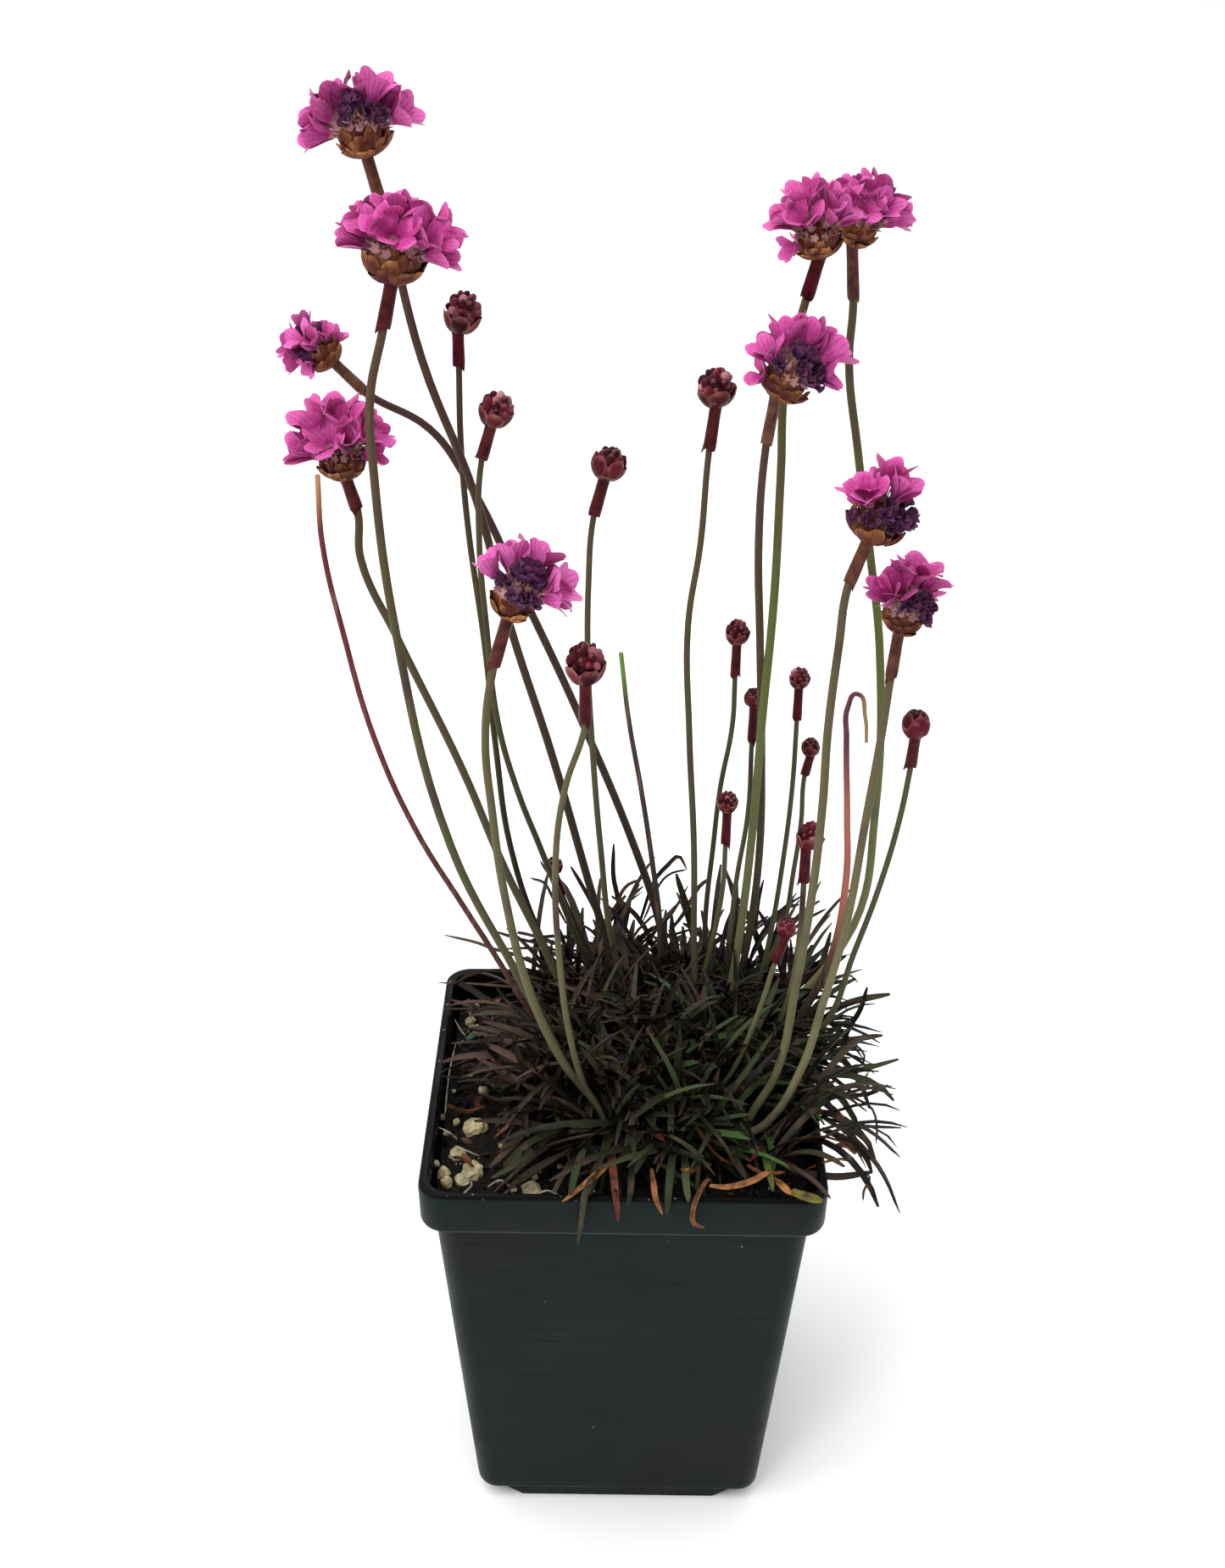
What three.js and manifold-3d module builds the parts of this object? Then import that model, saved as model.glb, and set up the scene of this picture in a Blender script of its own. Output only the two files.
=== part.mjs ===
// A dark-leaved garden sea thrift in bloom, standing in its square nursery pot.
// Millimetres, +Z up. The origin is the middle of the flat foot that the pot stands on,
// and the pot's sides face along X and Y.
import * as THREE from 'three';
import { mergeVertices } from 'three/addons/utils/BufferGeometryUtils.js';
import Module from 'manifold-3d';

const wasm = await Module();
wasm.setup();

// Clearance between pieces that rest on or stand in each other.
const GAP = 0.3;
// Points closer than this are one point.
const MERGE = 1e-4;

// The moulded pot, as half widths and heights above the foot.
const POT_HEIGHT = 102;
const RIM_HALF = 44.5;
const RIM_CORNER = 8;
const RIM_INNER_HALF = 42.4;
const SKIRT_HEIGHT = 10.2;
const WALL_TOP_HALF = 41.4;
const WALL_FOOT_HALF = 33.4;
const WALL_CORNER = 6.5;
const WALL = 1.4;
const FLOOR = 1.8;
const FOOT_HEIGHT = 3.2;
const FOOT_HALF_WIDTH = 23;
const FOOT_SLOPE = 5;
const FOOT_REACH = 32.2;
const DRAIN_RADIUS = 2.6;
const DRAIN_PLACE = 27.6;
const DRAIN_SIDES = 10;
const CORNER_STEPS = 2;

// The soil fills the pot to a little below its rim.
const SOIL_TOP = 95;
const SOIL_RELIEF = 1.8;
const SOIL_SIDE_POINTS = 2;

// The crown is the low woody mound that leaves and flower stalks grow from.
const CROWN = { x: 6, y: 4, halfX: 34, halfY: 33, height: 11 };
const CROWN_SIDES = 14;
const STALK_FOOT = SOIL_TOP + 1.4;

// Leaves: linear, blunt, three-sided under a flat top.
const LEAF = { width: 2, thickness: 0.8, shortest: 24, longest: 40 };
// The tuft hangs over the pot to the right and back, and stops short at the left and front.
const TUFT_REACH = { left: -46, right: 66, front: -52, back: 60 };
const LEAF_STEPS = 3;
const SAMPLES_PER_STEP = 6;
const ROSETTES = 17;
const ROSETTE_RADIUS = 4.5;
// The rosettes' middles cover this share of the crown, and lift towards its top.
const ROSETTE_COVER = 0.8;
const ROSETTE_LIFT = 1.5;
const LEAVES_PER_ROSETTE = 16;
// Degrees above level that a leaf starts at, in the rosette's middle and at its edge, and
// how far it bends over from there.
const LEAF_RISE = { inner: 78, outer: 30, loose: 14 };
const LEAF_BEND = { least: 35, most: 85 };
const LEAF_TRIES = 26;
const LEAF_SEED = 4711;
// No leaf tip reaches this high.
const TUFT_TOP = 165;
const GOLDEN_ANGLE = Math.PI * (3 - Math.sqrt(5));

const FLOWER_STALK_RADIUS = 1.05;
const BUD_STALK_RADIUS = 0.85;
const BARE_STALK_RADIUS = 0.8;
const SHEATH_EXTRA = 0.45;
const STALK_SIDES = 5;
const FLOWER_STALK_STEPS = 9;
const BUD_STALK_STEPS = 8;
const BARE_STALK_STEPS = 10;

// Flower stalks, each as its head's middle, the head's radius, and the stalk's route from
// the head's base down to the crown. The route's second point is where the sheath ends.
// fresh is the share of florets still pink and open.
const FLOWERS = [
  { middle: [-53, 14, 314], radius: 11.5, fresh: 0.8, route: [[-52, 14, 307], [-49, 15, 295],
    [-43, 16, 267], [-33, 17, 238], [-26, 19, 207], [-17, 20, 175], [-8, 21, 139], [2, 23, 100]] },
  { middle: [-45, -6, 296], radius: 12, fresh: 1, route: [[-46, -6, 288], [-48, -6, 279],
    [-51, -6, 266], [-51, -6, 251], [-48, -7, 218], [-38, -7, 167], [-24, -8, 135],
    [-15, -8, 115], [-7, -8, 100]] },
  { middle: [-67, 26, 268], radius: 8.5, fresh: 0.9, route: [[-62, 26, 263], [-56, 26, 257],
    [-43, 27, 249], [-36, 27, 239], [-22, 28, 207], [-12, 29, 183], [2, 30, 146], [8, 29, 127],
    [13, 28, 100]] },
  { middle: [-60, 12, 252], radius: 10.5, fresh: 1, route: [[-59, 12, 243], [-57, 12, 236],
    [-57, 13, 225], [-50, 13, 207], [-37, 14, 175], [-28, 15, 149], [-18, 16, 124],
    [-10, 17, 100]] },
  { middle: [-21, -26, 237], radius: 10.5, fresh: 0.55, route: [[-24, -26, 229], [-27, -25, 218],
    [-29, -23, 202], [-28, -21, 183], [-26, -19, 163], [-21, -17, 137], [-14, -15, 117],
    [-5, -13, 100]] },
  { middle: [34, 9, 298], radius: 9.5, fresh: 0.9, route: [[35, 9, 290], [33, 9, 282],
    [30, 10, 267], [30, 10, 246], [30, 10, 219], [29, 12, 189], [28, 13, 156], [26, 14, 126],
    [23, 15, 100]] },
  { middle: [45, 24, 297], radius: 9.5, fresh: 1, route: [[43, 24, 289], [44, 24, 278],
    [44, 24, 265], [47, 24, 247], [51, 23, 225], [55, 23, 201], [57, 23, 160], [54, 22, 130],
    [35, 20, 100]] },
  { middle: [31, -3, 273], radius: 10, fresh: 0.5, route: [[27, -3, 265], [26, 1, 255],
    [26, 8, 233], [28, 15, 205], [30, 20, 175], [31, 24, 150], [30, 27, 126], [27, 29, 100]] },
  { middle: [48, -17, 250], radius: 11, fresh: 0.45, route: [[45, -17, 242], [42, -17, 233],
    [41, -17, 220], [40, -17, 201], [40, -17, 184], [39, -16, 159], [37, -16, 138],
    [34, -16, 115], [28, -16, 100]] },
  { middle: [56, -8, 229], radius: 9.5, fresh: 0.5, route: [[54, -8, 219], [53, -9, 209],
    [52, -10, 197], [50, -12, 179], [47, -15, 153], [43, -17, 134], [39, -19, 118],
    [32, -20, 104], [25, -21, 99]] },
];

const BUDS = [
  { middle: [-35, 21, 275], radius: 3.7, route: [[-36, 21, 271], [-36, 21, 264], [-36, 21, 248],
    [-35, 22, 229], [-32, 22, 202], [-30, 23, 176], [-27, 23, 150], [-20, 23, 125],
    [-9, 24, 100]] },
  { middle: [-28, 10, 258], radius: 3.5, route: [[-29, 10, 255], [-31, 11, 248], [-32, 13, 229],
    [-31, 15, 209], [-29, 17, 185], [-25, 19, 167], [-20, 21, 151], [-14, 23, 132],
    [-4, 26, 100]] },
  { middle: [-5, 2, 251], radius: 3.4, route: [[-6, 2, 247], [-8, 3, 239], [-9, 5, 223],
    [-9, 8, 203], [-8, 10, 183], [-6, 13, 156], [-3, 16, 128], [4, 20, 100]] },
  { middle: [-9, -26, 219], radius: 3.9, route: [[-9, -26, 215], [-9, -25, 206],
    [-13, -24, 191], [-15, -22, 174], [-14, -20, 143], [-12, -19, 126], [-9, -17, 112],
    [-4, -16, 100]] },
  { middle: [16, 6, 265], radius: 3.8, route: [[16, 6, 261], [15, 6, 252], [14, 7, 232],
    [12, 8, 213], [13, 8, 188], [15, 9, 158], [16, 10, 128], [18, 11, 100]] },
  { middle: [23, 16, 208], radius: 2.5, route: [[23, 16, 205], [23, 17, 197], [23, 19, 184],
    [21, 20, 168], [20, 22, 151], [19, 24, 130], [20, 27, 100]] },
  { middle: [28, 24, 189], radius: 2.1, route: [[28, 24, 186], [28, 25, 177], [28, 26, 158],
    [26, 26, 139], [25, 25, 123], [23, 22, 100]] },
  { middle: [38, 26, 193], radius: 2.3, route: [[38, 26, 190], [38, 26, 182], [38, 27, 164],
    [37, 27, 146], [35, 26, 126], [31, 24, 100]] },
  { middle: [42, 30, 174], radius: 2.1, route: [[42, 30, 171], [41, 30, 166], [41, 31, 153],
    [40, 31, 140], [38, 30, 124], [28, 25, 100]] },
  { middle: [22, 8, 171], radius: 2.3, route: [[22, 8, 168], [22, 9, 159], [22, 12, 146],
    [20, 15, 128], [17, 17, 112], [13, 19, 100]] },
  { middle: [41, 8, 163], radius: 3, route: [[40, 8, 159], [40, 8, 150], [40, 9, 137],
    [39, 9, 122], [34, 10, 100]] },
  { middle: [62, 2, 193], radius: 3, route: [[62, 2, 190], [62, 2, 183], [61, 3, 168],
    [57, 3, 151], [53, 4, 134], [48, 4, 115], [36, 4, 100]] },
  { middle: [35, -8, 148], radius: 2.1, route: [[35, -8, 146], [33, -8, 139], [30, -8, 126],
    [25, -8, 110], [20, -8, 100]] },
  { middle: [-17, 29, 141], radius: 2.1, route: [[-17, 29, 139], [-15, 29, 133],
    [-11, 30, 122], [-3, 31, 100]] },
];

// Two stalks that have lost their heads, and one dead one that has curled over.
const BARE_STALKS = [
  { name: 'bare_scape_1', colour: 0x6b2a35, route: [[-63, 0, 248], [-63, 1, 233],
    [-60, 3, 212], [-55, 5, 187], [-47, 7, 163], [-37, 9, 142], [-28, 10, 124],
    [-18, 12, 100]] },
  { name: 'bare_scape_2', colour: 0x4e4a38, route: [[-2, 20, 201], [0, 21, 184], [3, 21, 167],
    [6, 22, 147], [8, 23, 131], [9, 24, 100]] },
  { name: 'curled_scape', colour: 0xa8605a, route: [[51, 4, 188], [50.5, 4, 194],
    [48.5, 5, 199], [46.5, 5, 196], [47, 6, 188], [49, 7, 169], [50, 9, 150], [46, 10, 125],
    [34, 14, 100]] },
];

// Perlite lumps lying in the soil left of the crown.
const PERLITE = [
  { at: [-34, -12.5], radius: 3 },
  { at: [-33.5, -28], radius: 2.8 },
  { at: [-37.5, -22], radius: 2 },
  { at: [-20, -34], radius: 2.3 },
  { at: [-36.5, 25.5], radius: 2.1 },
];

const UP = new THREE.Vector3(0, 0, 1);

function finish(colour, roughness) {
  return new THREE.MeshStandardMaterial({ color: colour, roughness, metalness: 0 });
}

const POT_PLASTIC = finish(0x262e2e, 0.42);
const SOIL_MIX = finish(0x1c1713, 0.95);
const PERLITE_WHITE = finish(0xd9cfb2, 0.9);
const LEAF_GREEN = finish(0x3c3a33, 0.6);
const STALK_OLIVE = finish(0x6d6a46, 0.55);
const BUD_MAROON = finish(0x6e2836, 0.6);
const PETAL_PINK = finish(0xc8469e, 0.65);

// A repeatable stream of numbers between 0 and 1.
function seeded(seed) {
  let state = seed;
  return () => {
    state = (state + 0x6d2b79f5) | 0;
    let t = Math.imul(state ^ (state >>> 15), 1 | state);
    t = (t + Math.imul(t ^ (t >>> 7), 61 | t)) ^ t;
    return ((t ^ (t >>> 14)) >>> 0) / 4294967296;
  };
}

function vector(triple) {
  return new THREE.Vector3(triple[0], triple[1], triple[2]);
}

function stripped(geometry) {
  geometry.deleteAttribute('normal');
  geometry.deleteAttribute('uv');
  return geometry;
}

// A closed mesh as a solid: shared vertices merged, zero-area faces at poles left out.
function solidOf(geometry) {
  const merged = mergeVertices(stripped(geometry.clone()), MERGE);
  const index = merged.index.array;
  const corners = [];
  for (let i = 0; i < index.length; i += 3) {
    const [a, b, c] = [index[i], index[i + 1], index[i + 2]];
    if (a !== b && b !== c && c !== a) corners.push(a, b, c);
  }
  const solid = new wasm.Manifold(new wasm.Mesh({
    numProp: 3,
    vertProperties: merged.getAttribute('position').array,
    triVerts: new Uint32Array(corners),
  }));
  if (solid.volume() < 0) throw new Error('a shape is inside out');
  return solid;
}

// The largest shell of a solid as a geometry: loose scraps and sealed hollows are dropped.
function geometryOf(solid) {
  const mesh = solid.getMesh();
  const count = mesh.vertProperties.length / mesh.numProp;
  const owner = Array.from({ length: count }, (_, i) => i);
  const find = (i) => {
    let top = i;
    while (owner[top] !== top) top = owner[top];
    owner[i] = top;
    return top;
  };
  const point = (i) => new THREE.Vector3().fromArray(mesh.vertProperties, i * mesh.numProp);
  for (let t = 0; t < mesh.triVerts.length; t += 3) {
    const first = find(mesh.triVerts[t]);
    owner[find(mesh.triVerts[t + 1])] = first;
    owner[find(mesh.triVerts[t + 2])] = first;
  }
  const shells = new Map();
  for (let t = 0; t < mesh.triVerts.length; t += 3) {
    const key = find(mesh.triVerts[t]);
    if (!shells.has(key)) shells.set(key, { volume: 0, corners: [] });
    const shell = shells.get(key);
    const corners = [mesh.triVerts[t], mesh.triVerts[t + 1], mesh.triVerts[t + 2]];
    const [a, b, c] = corners.map(point);
    shell.volume += a.dot(b.cross(c));
    shell.corners.push(...corners);
  }
  const largest = [...shells.values()].sort((p, q) => q.volume - p.volume)[0];
  const positions = largest.corners.flatMap((i) => point(i).toArray());
  const geometry = new THREE.BufferGeometry();
  geometry.setAttribute('position', new THREE.Float32BufferAttribute(positions, 3));
  const closed = mergeVertices(geometry, MERGE);
  closed.computeVertexNormals();
  return closed;
}

function fuse(geometries) {
  return wasm.Manifold.union(geometries.map(solidOf));
}

// Points of a square outline with round corners, anticlockwise seen from above.
function squareOutline(half, corner, z, sidePoints = 0) {
  const points = [];
  for (let quarter = 0; quarter < 4; quarter += 1) {
    const turn = (quarter * Math.PI) / 2;
    const place = (x, y) => {
      points.push(new THREE.Vector3(x, y, z).applyAxisAngle(UP, turn));
    };
    for (let k = 0; k <= CORNER_STEPS; k += 1) {
      const angle = ((k / CORNER_STEPS) * Math.PI) / 2;
      place(half - corner + corner * Math.cos(angle), half - corner + corner * Math.sin(angle));
    }
    for (let k = 1; k <= sidePoints; k += 1) {
      place((half - corner) * (1 - (2 * k) / (sidePoints + 1)), half);
    }
  }
  return points;
}

// A closed skin through a row of outlines with a flat fan over each end.
function loft(rings) {
  const size = rings[0].length;
  const positions = rings.flat().flatMap((p) => p.toArray());
  const index = [];
  for (let r = 0; r + 1 < rings.length; r += 1) {
    for (let k = 0; k < size; k += 1) {
      const a = r * size + k;
      const b = r * size + ((k + 1) % size);
      index.push(a, b, b + size, a, b + size, a + size);
    }
  }
  const ends = [rings[0], rings[rings.length - 1]];
  ends.forEach((ring, end) => {
    const middle = positions.length / 3;
    const centre = ring.reduce((sum, p) => sum.add(p), new THREE.Vector3());
    positions.push(...centre.divideScalar(size).toArray());
    const start = end * (rings.length - 1) * size;
    for (let k = 0; k < size; k += 1) {
      const pair = [start + k, start + ((k + 1) % size)];
      index.push(middle, ...(end ? pair : pair.reverse()));
    }
  });
  const geometry = new THREE.BufferGeometry();
  geometry.setAttribute('position', new THREE.Float32BufferAttribute(positions, 3));
  geometry.setIndex(index);
  return geometry;
}

// The pot wall's outer half width at a height: it tapers evenly from skirt to foot.
function wallHalf(z) {
  const skirtFoot = POT_HEIGHT - SKIRT_HEIGHT;
  return WALL_FOOT_HALF + ((WALL_TOP_HALF - WALL_FOOT_HALF) * z) / skirtFoot;
}

function potGeometry() {
  const skirtFoot = POT_HEIGHT - SKIRT_HEIGHT;
  const floor = FOOT_HEIGHT + FLOOR;
  const inner = (z) => wallHalf(z) - WALL;
  const profile = [
    [wallHalf(0) - 2, WALL_CORNER, FOOT_HEIGHT],
    [wallHalf(FOOT_HEIGHT) - 0.5, WALL_CORNER, FOOT_HEIGHT + 0.6],
    [wallHalf(FOOT_HEIGHT + 2), WALL_CORNER, FOOT_HEIGHT + 2],
    [WALL_TOP_HALF, WALL_CORNER, skirtFoot],
    [RIM_HALF - 0.8, RIM_CORNER, skirtFoot + 0.2],
    [RIM_HALF - 0.3, RIM_CORNER, skirtFoot + 1],
    [RIM_HALF, RIM_CORNER, POT_HEIGHT - 0.8],
    [RIM_HALF - 0.6, RIM_CORNER, POT_HEIGHT],
    [RIM_INNER_HALF, WALL_CORNER, POT_HEIGHT],
    [RIM_INNER_HALF - 0.5, WALL_CORNER, POT_HEIGHT - 0.8],
    [RIM_INNER_HALF - 0.9, WALL_CORNER, skirtFoot + 0.4],
    [inner(skirtFoot - 1.4), WALL_CORNER - WALL, skirtFoot - 1.4],
    [inner(floor), WALL_CORNER - WALL, floor],
  ];
  const body = solidOf(loft(profile.map((level) => squareOutline(...level))));
  // The raised corners leave a cross-shaped foot of two bars.
  const bar = (turn) => {
    const ring = (z, spread) => {
      const halfX = FOOT_HALF_WIDTH + spread * FOOT_SLOPE;
      const halfY = FOOT_REACH + spread;
      const outline = [[-halfX, -halfY], [halfX, -halfY], [halfX, halfY], [-halfX, halfY]];
      return outline.map(([x, y]) => new THREE.Vector3(x, y, z).applyAxisAngle(UP, turn));
    };
    return solidOf(loft([ring(0, 0), ring(FOOT_HEIGHT, 1), ring(FOOT_HEIGHT + 0.9, 1)]));
  };
  const footed = body.add(bar(0)).add(bar(Math.PI / 2));
  const drains = [-1, 1].flatMap((x) => [-1, 1].map((y) => {
    const drain = new THREE.CylinderGeometry(DRAIN_RADIUS, DRAIN_RADIUS, 2 * floor, DRAIN_SIDES);
    drain.rotateX(Math.PI / 2);
    drain.translate(x * DRAIN_PLACE, y * DRAIN_PLACE, floor);
    return solidOf(drain);
  }));
  return geometryOf(footed.subtract(wasm.Manifold.union(drains)));
}

// How far a place lies inside the crown's oval: below 1 is inside.
function crownReach(x, y) {
  return Math.hypot((x - CROWN.x) / CROWN.halfX, (y - CROWN.y) / CROWN.halfY);
}

function soilHeight(x, y) {
  const bumps = Math.sin(0.55 * x + 1.3 * Math.sin(0.4 * y)) * Math.cos(0.5 * y + 0.3 * x);
  const clear = THREE.MathUtils.smoothstep(crownReach(x, y), 1.04, 1.2);
  return SOIL_TOP - SOIL_RELIEF * (0.5 - 0.5 * bumps) * clear;
}

function soilSolid() {
  const skirtFoot = POT_HEIGHT - SKIRT_HEIGHT;
  const floor = FOOT_HEIGHT + FLOOR + GAP;
  const side = (z) => wallHalf(z) - WALL - GAP;
  const topHalf = RIM_INNER_HALF - 0.9 - GAP;
  const outline = (half, z) => squareOutline(half, WALL_CORNER, z, SOIL_SIDE_POINTS);
  const rings = [
    outline(side(floor), floor),
    outline(side(skirtFoot - 1.6), skirtFoot - 1.6),
    outline(topHalf - 0.3, skirtFoot + 0.8),
  ];
  for (const share of [1, 0.91, 0.81, 0.71, 0.6]) {
    const ring = outline(topHalf * share, SOIL_TOP);
    ring.forEach((p) => {
      p.z = share === 1 ? SOIL_TOP - 0.5 : soilHeight(p.x, p.y);
    });
    rings.push(ring);
  }
  return solidOf(loft(rings));
}

// A perlite lump: a rough ball, about a third of it sunk in the soil.
function perliteGeometry(lump, seed, grow = 0) {
  const random = seeded(seed);
  const geometry = mergeVertices(stripped(new THREE.DodecahedronGeometry(1, 0)), MERGE);
  const position = geometry.getAttribute('position');
  for (let i = 0; i < position.count; i += 1) {
    const p = new THREE.Vector3().fromBufferAttribute(position, i);
    p.multiplyScalar(lump.radius * (0.82 + 0.3 * random()) + grow);
    p.z *= 0.72;
    position.setXYZ(i, p.x + lump.at[0], p.y + lump.at[1], p.z + SOIL_TOP + 0.3 * lump.radius);
  }
  return geometry;
}

function curveOf(points) {
  return new THREE.CatmullRomCurve3(points, false, 'centripetal');
}

// A many-sided rod along a curve.
function rod(curve, radius, steps) {
  const corners = Array.from({ length: STALK_SIDES }, (_, k) => {
    const angle = (k / STALK_SIDES) * 2 * Math.PI;
    return new THREE.Vector2(radius * Math.cos(angle), radius * Math.sin(angle));
  });
  return new THREE.ExtrudeGeometry(new THREE.Shape(corners), {
    steps,
    bevelEnabled: false,
    extrudePath: curve,
  });
}

// The stalk's points: along the route from the head to its foot in the crown.
function stalkPoints(route) {
  const points = route.map(vector);
  const last = points[points.length - 1];
  const before = points[points.length - 2];
  const fall = last.clone().sub(before);
  const foot = last.clone().addScaledVector(fall, (STALK_FOOT - last.z) / fall.z);
  foot.lerp(new THREE.Vector3(last.x, last.y, STALK_FOOT), 0.8);
  points.push(foot);
  return points;
}

// A turned form whose radius swells in scales: waves round it, set over by row.
function scaledLathe(profile, sides, scales, relief) {
  const outline = profile.map(([r, z]) => new THREE.Vector2(r, z));
  const geometry = new THREE.LatheGeometry(outline, sides);
  geometry.rotateX(Math.PI / 2);
  const position = geometry.getAttribute('position');
  for (let i = 0; i < position.count; i += 1) {
    const row = i % profile.length;
    const x = position.getX(i);
    const y = position.getY(i);
    const wave = Math.cos(scales * Math.atan2(y, x) + row * Math.PI);
    const swell = 1 + (row > 0 && row < profile.length - 1 ? relief * wave : 0);
    position.setXY(i, x * swell, y * swell);
  }
  return geometry;
}

// Turns a form that stands on the origin along +Z to stand on base along axis.
function placed(geometry, base, axis) {
  const turn = new THREE.Quaternion().setFromUnitVectors(UP, axis);
  geometry.applyQuaternion(turn);
  geometry.translate(base.x, base.y, base.z);
  return geometry;
}

function headAxis(plant) {
  return vector(plant.middle).sub(vector(plant.route[0])).normalize();
}

// The papery tube left below a head, torn at its lower end.
function sheathGeometry(route, stalkRadius) {
  const top = vector(route[0]);
  const end = vector(route[1]);
  const axis = top.clone().sub(end);
  const length = axis.length();
  const radius = stalkRadius + SHEATH_EXTRA;
  const profile = [[0, 0], [radius, 0], [radius * 1.2, length + 0.6], [0, length + 0.6]];
  return placed(scaledLathe(profile, 6, 3, 0), end, axis.normalize());
}

const CUP_HEIGHT = 0.5;

// The cup of overlapping brown bracts under the florets.
function cupGeometry(radius) {
  const profile = [[0, 0], [0.36, 0.04], [0.55, 0.24], [0.56, CUP_HEIGHT], [0, CUP_HEIGHT]];
  return scaledLathe(profile.map(([r, z]) => [r * radius, z * radius]), 10, 5, 0.08);
}

// One floret: a funnel that opens to five lobes, its tip at the origin, opening along +Z.
function floret(length, radius) {
  const sides = 10;
  const geometry = new THREE.ConeGeometry(radius, length, sides, 1);
  geometry.translate(0, -length / 2, 0);
  geometry.rotateX(-Math.PI / 2);
  const position = geometry.getAttribute('position');
  for (let i = 0; i < position.count; i += 1) {
    const x = position.getX(i);
    const y = position.getY(i);
    const z = position.getZ(i);
    const atRim = Math.hypot(x, y) > radius / 2;
    const step = Math.round((Math.atan2(y, x) / (2 * Math.PI)) * sides);
    const isNotch = step % 2 !== 0;
    if (atRim && isNotch) position.setXYZ(i, x * 0.62, y * 0.62, z * 0.97);
    if (!atRim && z > length / 2) position.setZ(i, z * 0.62);
  }
  return geometry;
}

// Rings of florets over the head, from the rim to the top: polar angle, count and reach.
const FLORET_RINGS = [
  { polar: 76, count: 8, reach: 0.88, spread: 0.34 },
  { polar: 38, count: 4, reach: 0.68, spread: 0.3 },
];

// A floret's own tube starts this far out from the head's middle.
const FLORET_START = 0.28;

function floretsGeometry(flower, seed) {
  const random = seeded(seed);
  const radius = flower.radius;
  const bottom = CUP_HEIGHT * radius + GAP;
  const profile = [[0, 0], [0.46, 0], [0.4, 0.26], [0, 0.42]];
  const core = scaledLathe(profile.map(([r, z]) => [r * radius, z * radius + bottom]), 8, 4, 0);
  const pieces = [core];
  for (const ring of FLORET_RINGS) {
    for (let k = 0; k < ring.count; k += 1) {
      const isFresh = random() < flower.fresh;
      const azimuth = ((k + 0.25 * random()) / ring.count) * 2 * Math.PI;
      const polar = THREE.MathUtils.degToRad(ring.polar + 8 * (random() - 0.5));
      const length = radius * (ring.reach - FLORET_START) * (isFresh ? 0.95 + 0.1 * random() : 0.6);
      const spread = radius * (isFresh ? ring.spread : 0.15);
      const axis = new THREE.Vector3().setFromSphericalCoords(1, polar, azimuth);
      axis.set(axis.x, axis.z, axis.y);
      const tip = new THREE.Vector3(0, 0, bottom + 0.17 * radius);
      tip.addScaledVector(axis, FLORET_START * radius);
      const piece = floret(length, spread);
      piece.rotateZ(random());
      pieces.push(placed(piece, tip, axis));
    }
  }
  return geometryOf(fuse(pieces));
}

// A closed bud: rows of pointed bracts round a ball, flattened a little on top.
function budGeometry(bud) {
  const sides = 10;
  const rows = 6;
  const profile = Array.from({ length: rows }, (_, k) => {
    const angle = (k / (rows - 1)) * Math.PI;
    return [bud.radius * Math.sin(angle), bud.radius * (1 - Math.cos(angle))];
  });
  const ball = placed(scaledLathe(profile, sides, 5, 0.1), vector(bud.route[0]), headAxis(bud));
  return geometryOf(fuse([ball, sheathGeometry(bud.route, BUD_STALK_RADIUS)]));
}

// Samples along each stalk and round each low bud, for the leaves to keep clear of.
const obstacles = [];

function keepClear(curve, radius) {
  const count = Math.ceil(curve.getLength() / 1.2);
  for (const p of curve.getSpacedPoints(count)) {
    if (p.z < TUFT_TOP) obstacles.push({ p, radius });
  }
}

function isClear(point, margin) {
  if (point.x < TUFT_REACH.left || point.x > TUFT_REACH.right) return false;
  if (point.y < TUFT_REACH.front || point.y > TUFT_REACH.back) return false;
  const reach = Math.max(Math.abs(point.x), Math.abs(point.y));
  const isOverRim = reach > RIM_INNER_HALF - 2 && reach < RIM_HALF + margin;
  const floor = isOverRim ? POT_HEIGHT : SOIL_TOP;
  if (reach < RIM_HALF + margin && point.z < floor + margin + GAP) return false;
  return obstacles.every((o) => o.p.distanceTo(point) > o.radius + margin + GAP);
}

// Leaves already grown: past their roots they keep clear of each other.
const grownLeaves = [];

function crossesLeaf(samples) {
  const spacing = LEAF.width + 0.2;
  return grownLeaves.some((other) => samples.some((p) => other.some(
    (q) => Math.abs(p.x - q.x) < spacing && p.distanceTo(q) < spacing,
  )));
}

// The leaf's middle line: it rises from the crown and bends over by its own weight.
function leafLine(root, azimuth, rise, fall, length) {
  const points = [root.clone()];
  for (let k = 0; k < LEAF_STEPS; k += 1) {
    const angle = rise - fall * ((k + 0.5) / LEAF_STEPS) ** 1.4;
    const step = new THREE.Vector3(
      Math.cos(angle) * Math.cos(azimuth),
      Math.cos(angle) * Math.sin(azimuth),
      Math.sin(angle),
    );
    points.push(points[k].clone().addScaledVector(step, length / LEAF_STEPS));
  }
  return points;
}

// Points along the leaf's line outside the crown.
function samplesOf(line) {
  const all = line.slice(1).flatMap((end, k) => (
    Array.from({ length: SAMPLES_PER_STEP }, (_, i) => (
      line[k].clone().lerp(end, (i + 1) / SAMPLES_PER_STEP)
    ))
  ));
  return all.filter((p) => {
    const height = (p.z - SOIL_TOP) / CROWN.height;
    return height < 0.06 || Math.hypot(crownReach(p.x, p.y), height) > 0.97;
  });
}

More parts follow.
